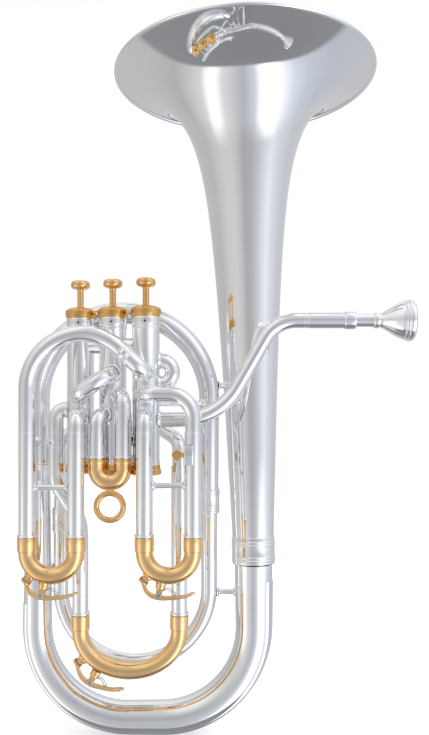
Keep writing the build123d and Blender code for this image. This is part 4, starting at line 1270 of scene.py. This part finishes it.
def water_key(key, slide, nipple_angle, pivot, spoon):
    """A water key under a bow's left bend: nipple, saddle, and a sprung lever with its cork."""
    xs, y, low, _ = SLIDES[slide]
    _, _, straight_run, depth = BOWS[slide]
    centre = np.array([xs[0] + depth, y, low - SLIDE_GAP - straight_run])
    outer = depth + BOW_TUBE_R
    a = math.radians(nipple_angle)
    out = np.array([-math.cos(a), 0, -math.sin(a)])
    hub = centre + np.array([pivot[0], 0, pivot[1]])
    tip = centre + np.array([spoon[0], 0, spoon[1]])
    lever = f"water_key_lever_{key}"
    mount, arm = f"water_key_mount_{key}", f"water_key_{key}"

    def small(part, outline, origin, axis):
        """A small turned part of the key."""
        return turned(f"{arm}_{part}", outline, origin, axis, 0.25, 3)

    h = NIPPLE_HEIGHT
    nipple = [(1.4, -3), (4.5, -3), (4.5, 0.2), (3.9, 0.8), (3.2, 1.1)]
    nipple += [(3.0, h - 0.5), (3.3, h), (1.4, h)]
    seat = centre + out * outer
    gold(small("nipple", nipple, seat, out), slide, mount)

    reach = math.hypot(*pivot)
    up = np.array([-pivot[0], 0, -pivot[1]]) / reach
    across = np.cross(Y, up)
    base = hub + up * (reach - outer)
    r, h = SADDLE_R, SADDLE_HEIGHT
    foot = [(0.01, -2), (r, -2), (r, 0.9), (r - 0.3, 1.2), (r - 0.3, h - 0.4)]
    foot += [(r - 0.7, h), (0.01, h)]
    gold(small("saddle_foot", foot, base, -up), slide)
    for side in (-1, 1):
        ear_y = y + side * EAR_MIDDLE
        outline = []
        for t in np.linspace(math.pi, 2 * math.pi, 13):
            outline.append(hub + EAR_R * (math.cos(t) * across + math.sin(t) * up))
        root = base - up * (h - 0.6)
        outline += [root + across * (EAR_R + 0.3), root - across * (EAR_R + 0.3)]
        outline = soften(outline, 0.4, 3)
        rings = [[(p[0], d, p[2]) for p in outline] for d in (ear_y - 0.5, ear_y + 0.5)]
        ear = solid(f"{arm}_ear_{'f' if side < 0 else 'b'}", rings, loop_v=False, cap_ends=True)
        gold(ear, slide)

    r = SCREW_HEAD_R
    head = [(0.01, 0), (r - 0.6, 0), (r - 0.1, 0.35), (r, 0.9), (r, 1.2), (0.01, 1.2)]
    screw = small("screw_head", head, hub + (0, -4.95, 0), Y)
    piece(screw, slide, STEEL, "spring_steel")
    # The screw's slot is a thin near-black rod across its head: painted shade for the groove.
    slot_half = 1.6 * unit(across + up)
    slot_middle = hub + (0, -4.93, 0)
    slot_ends = (slot_middle - slot_half, slot_middle + slot_half)
    cut = rod(f"{arm}_recess_painted_shade", *slot_ends, 0.22, 12, 0.05)
    piece(cut, slide, RECESS_PAINTED_SHADE, "spring_steel")
    shaft = rod(f"{arm}_screw_shaft", hub + (0, -3.9, 0), hub + (0, 4.5, 0), 1.1, 32, 0.2)
    piece(shaft, slide, STEEL, "spring_steel")

    cork_low = NIPPLE_HEIGHT + 0.05
    cup_low = cork_low + CORK_THICKNESS
    cup_high = cup_low + KEY_CUP_THICKNESS
    cork = [(0.01, cork_low), (CORK_R - 0.1, cork_low), (CORK_R, cork_low + 0.5)]
    cork += [(CORK_R, cup_low), (0.01, cup_low)]
    piece(small("cork", cork, seat, out), lever, CORK, "gold_plate", arm)
    r = KEY_CUP_R
    cup = [(0.01, cup_low), (r, cup_low), (r, cup_high - 0.7), (r - 0.6, cup_high), (0.01, cup_high)]
    gold(small("cup", cup, seat, out), lever)
    hub_tube = [(1.16, -2.6), (2.2, -2.6), (KEY_HUB_R, -2.3)]
    hub_tube += [(KEY_HUB_R, 2.3), (2.2, 2.6), (1.16, 2.6)]
    gold(small("hub", hub_tube, hub, Y), lever)

    along = unit(tip - hub)
    lift = np.array([-along[2], 0, along[0]])

    def beside(ahead, height):
        """A point of the lever's plane, from its pivot: ahead towards the spoon, and lifted."""
        return hub + along * ahead + lift * height

    cup_back = seat + out * (cup_high - 0.8)
    stops = [(cup_back - unit(beside(-9.4, 2.2) - cup_back) * 2.5, 3.0, 1.8), (cup_back, 3.4, 2.6)]
    stops += [(beside(ahead, height), width, t) for ahead, height, width, t in KEY_ARM]
    stops += [(tip - along * 2.5 - lift * 0.3, 7.0, 1.7), (tip, 3.4, 1.4)]
    path = [(p[0], p[2]) for p, _, _ in stops]
    bar = ribbon(f"{arm}_arm", path, [w for _, w, _ in stops], [t for _, _, t in stops], y)
    gold(bar, lever)

    spring = [beside(ahead, height) + (0, -0.9, 0) for ahead, height in KEY_SPRING]
    spring = wire(f"{arm}_spring", spring, KEY_WIRE_R, 200)
    piece(spring, slide, STEEL, "spring_steel")
    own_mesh(spring)


for key in ("1", "3"):
    water_key(key, f"slide_{key}", 50, (-7.5, -34.8), (22.2, -33.7))
water_key("main", "main_slide", 37, (-26.2, -43.8), (2.3, -51.0))

# ---------------------------------------------------------------- braces and lyre box

BRACE_R = 2.4


def brace(name, start, end, gaps, radius=BRACE_R):
    """A waisted brace between two tubes, with a dished foot on each; gaps are the tubes' radii."""
    start, end = np.asarray(start, float), np.asarray(end, float)
    way = unit(end - start)
    a, b = start + way * (gaps[0] - 0.5), end - way * (gaps[1] - 0.5)
    length = np.linalg.norm(b - a)
    wide = min(4.3, radius * 1.8)
    foot = min(2.4, length * 0.3)
    outline = [(0.01, 0), (wide, 0), (wide * 0.95, foot * 0.45), (radius, foot)]
    outline += [(radius * 0.9, length / 2), (radius, length - foot)]
    outline += [(wide * 0.95, length - foot * 0.45), (wide, length), (0.01, length)]
    silver(turned(name, outline, a, way, 0.5), "body_braces")


def bell_middle(z):
    """The bell's axis at a height."""
    return BELL_BASE + BELL_AXIS * (z - BELL_BASE[2]) / BELL_AXIS[2]


brace("slide_3_brace", (x3_left, FRONT_Y, 227.2), (x3_right, FRONT_Y, 227.2), (LEG_R, LEG_R))
brace("slide_1_brace", (x1_left, FRONT_Y, 228.8), (x1_right, FRONT_Y, 228.8), (LEG_R, LEG_R))
brace("arch_bell_brace", (ARCH_X[1], 0, 312), bell_middle(312), (8.6, 24.0))
brace("bow_brace", (INNER_BOW_X[1], 0, 127.3), (BOW_X[1], 0, 127.3), (7.2, 16.5))
brace("left_bow_brace", (BOW_X[0], 0, 150), (INNER_BOW_X[0], 0, 150), (12.0, 6.5))
brace("left_leg_brace", (x3_left, FRONT_Y, 262), (ARCH_X[0], 0, 262), (LEG_R, 10.8))
brace("leadpipe_brace", (88.0, y1, 330), bell_middle(330), (TUBE_R, 22.8), 3.0)
brace("casing_brace", (v1, y1, 296), (ARCH_X[1], 0, 296), (CASING_R, 8.4))

LYRE_SIZE = 7.7
LYRE_SLOT = 4.8
COIN_R = 4.6


def rounded_square(size, corner):
    """A square outline about its middle, with rounded corners."""
    half = size / 2
    return soften([(-half, -half), (half, -half), (half, half), (-half, half)], corner, 5)


def lyre():
    """The lyre socket and its coin-headed thumb screw."""
    low, high = box("lyre_box")
    screw_low, screw_high = box("lyre_screw")
    x = (low[0] + high[0]) / 2
    y, z = (screw_low[1] + screw_high[1]) / 2, (screw_low[2] + screw_high[2]) / 2
    outer, inner = rounded_square(LYRE_SIZE, 1.1), rounded_square(LYRE_SLOT, 0.4)
    edge = rounded_square(LYRE_SIZE - 0.6, 1.1)
    levels = [(outer, low[2] + 0.5), (outer, high[2] - 0.5), (edge, high[2])]
    levels += [(inner, high[2]), (inner, low[2]), (edge, low[2])]
    rings = [[(x + a, y + b, height) for a, b in outline] for outline, height in levels]
    silver(solid("lyre_socket", rings), "lyre_box")

    head = np.array([screw_low[0] + COIN_R, y, z])
    r = COIN_R
    coin = [(0.01, -1.0), (r - 0.7, -1.0), (r - 0.1, -0.5), (r, 0), (r - 0.1, 0.5)]
    coin += [(r - 0.7, 1.0), (0.01, 1.0)]
    stalk = [(0.01, 3.8), (1.3, 3.8), (2.1, 4.2), (2.2, 5.0), (1.35, 5.3), (1.3, 7.4), (0.01, 7.4)]
    coin = turned("lyre_screw_head", coin, head, Y, 0.35, 4, 72)
    gold(coin, "lyre_thumb_screw", "lyre_screw", material=GOLD_POLISHED_PAINTED_SHADE)
    stalk = turned("lyre_screw_stalk", stalk, head, X, 0.2, 3, 72)
    gold(stalk, "lyre_thumb_screw", material=GOLD_POLISHED_PAINTED_SHADE)


lyre()
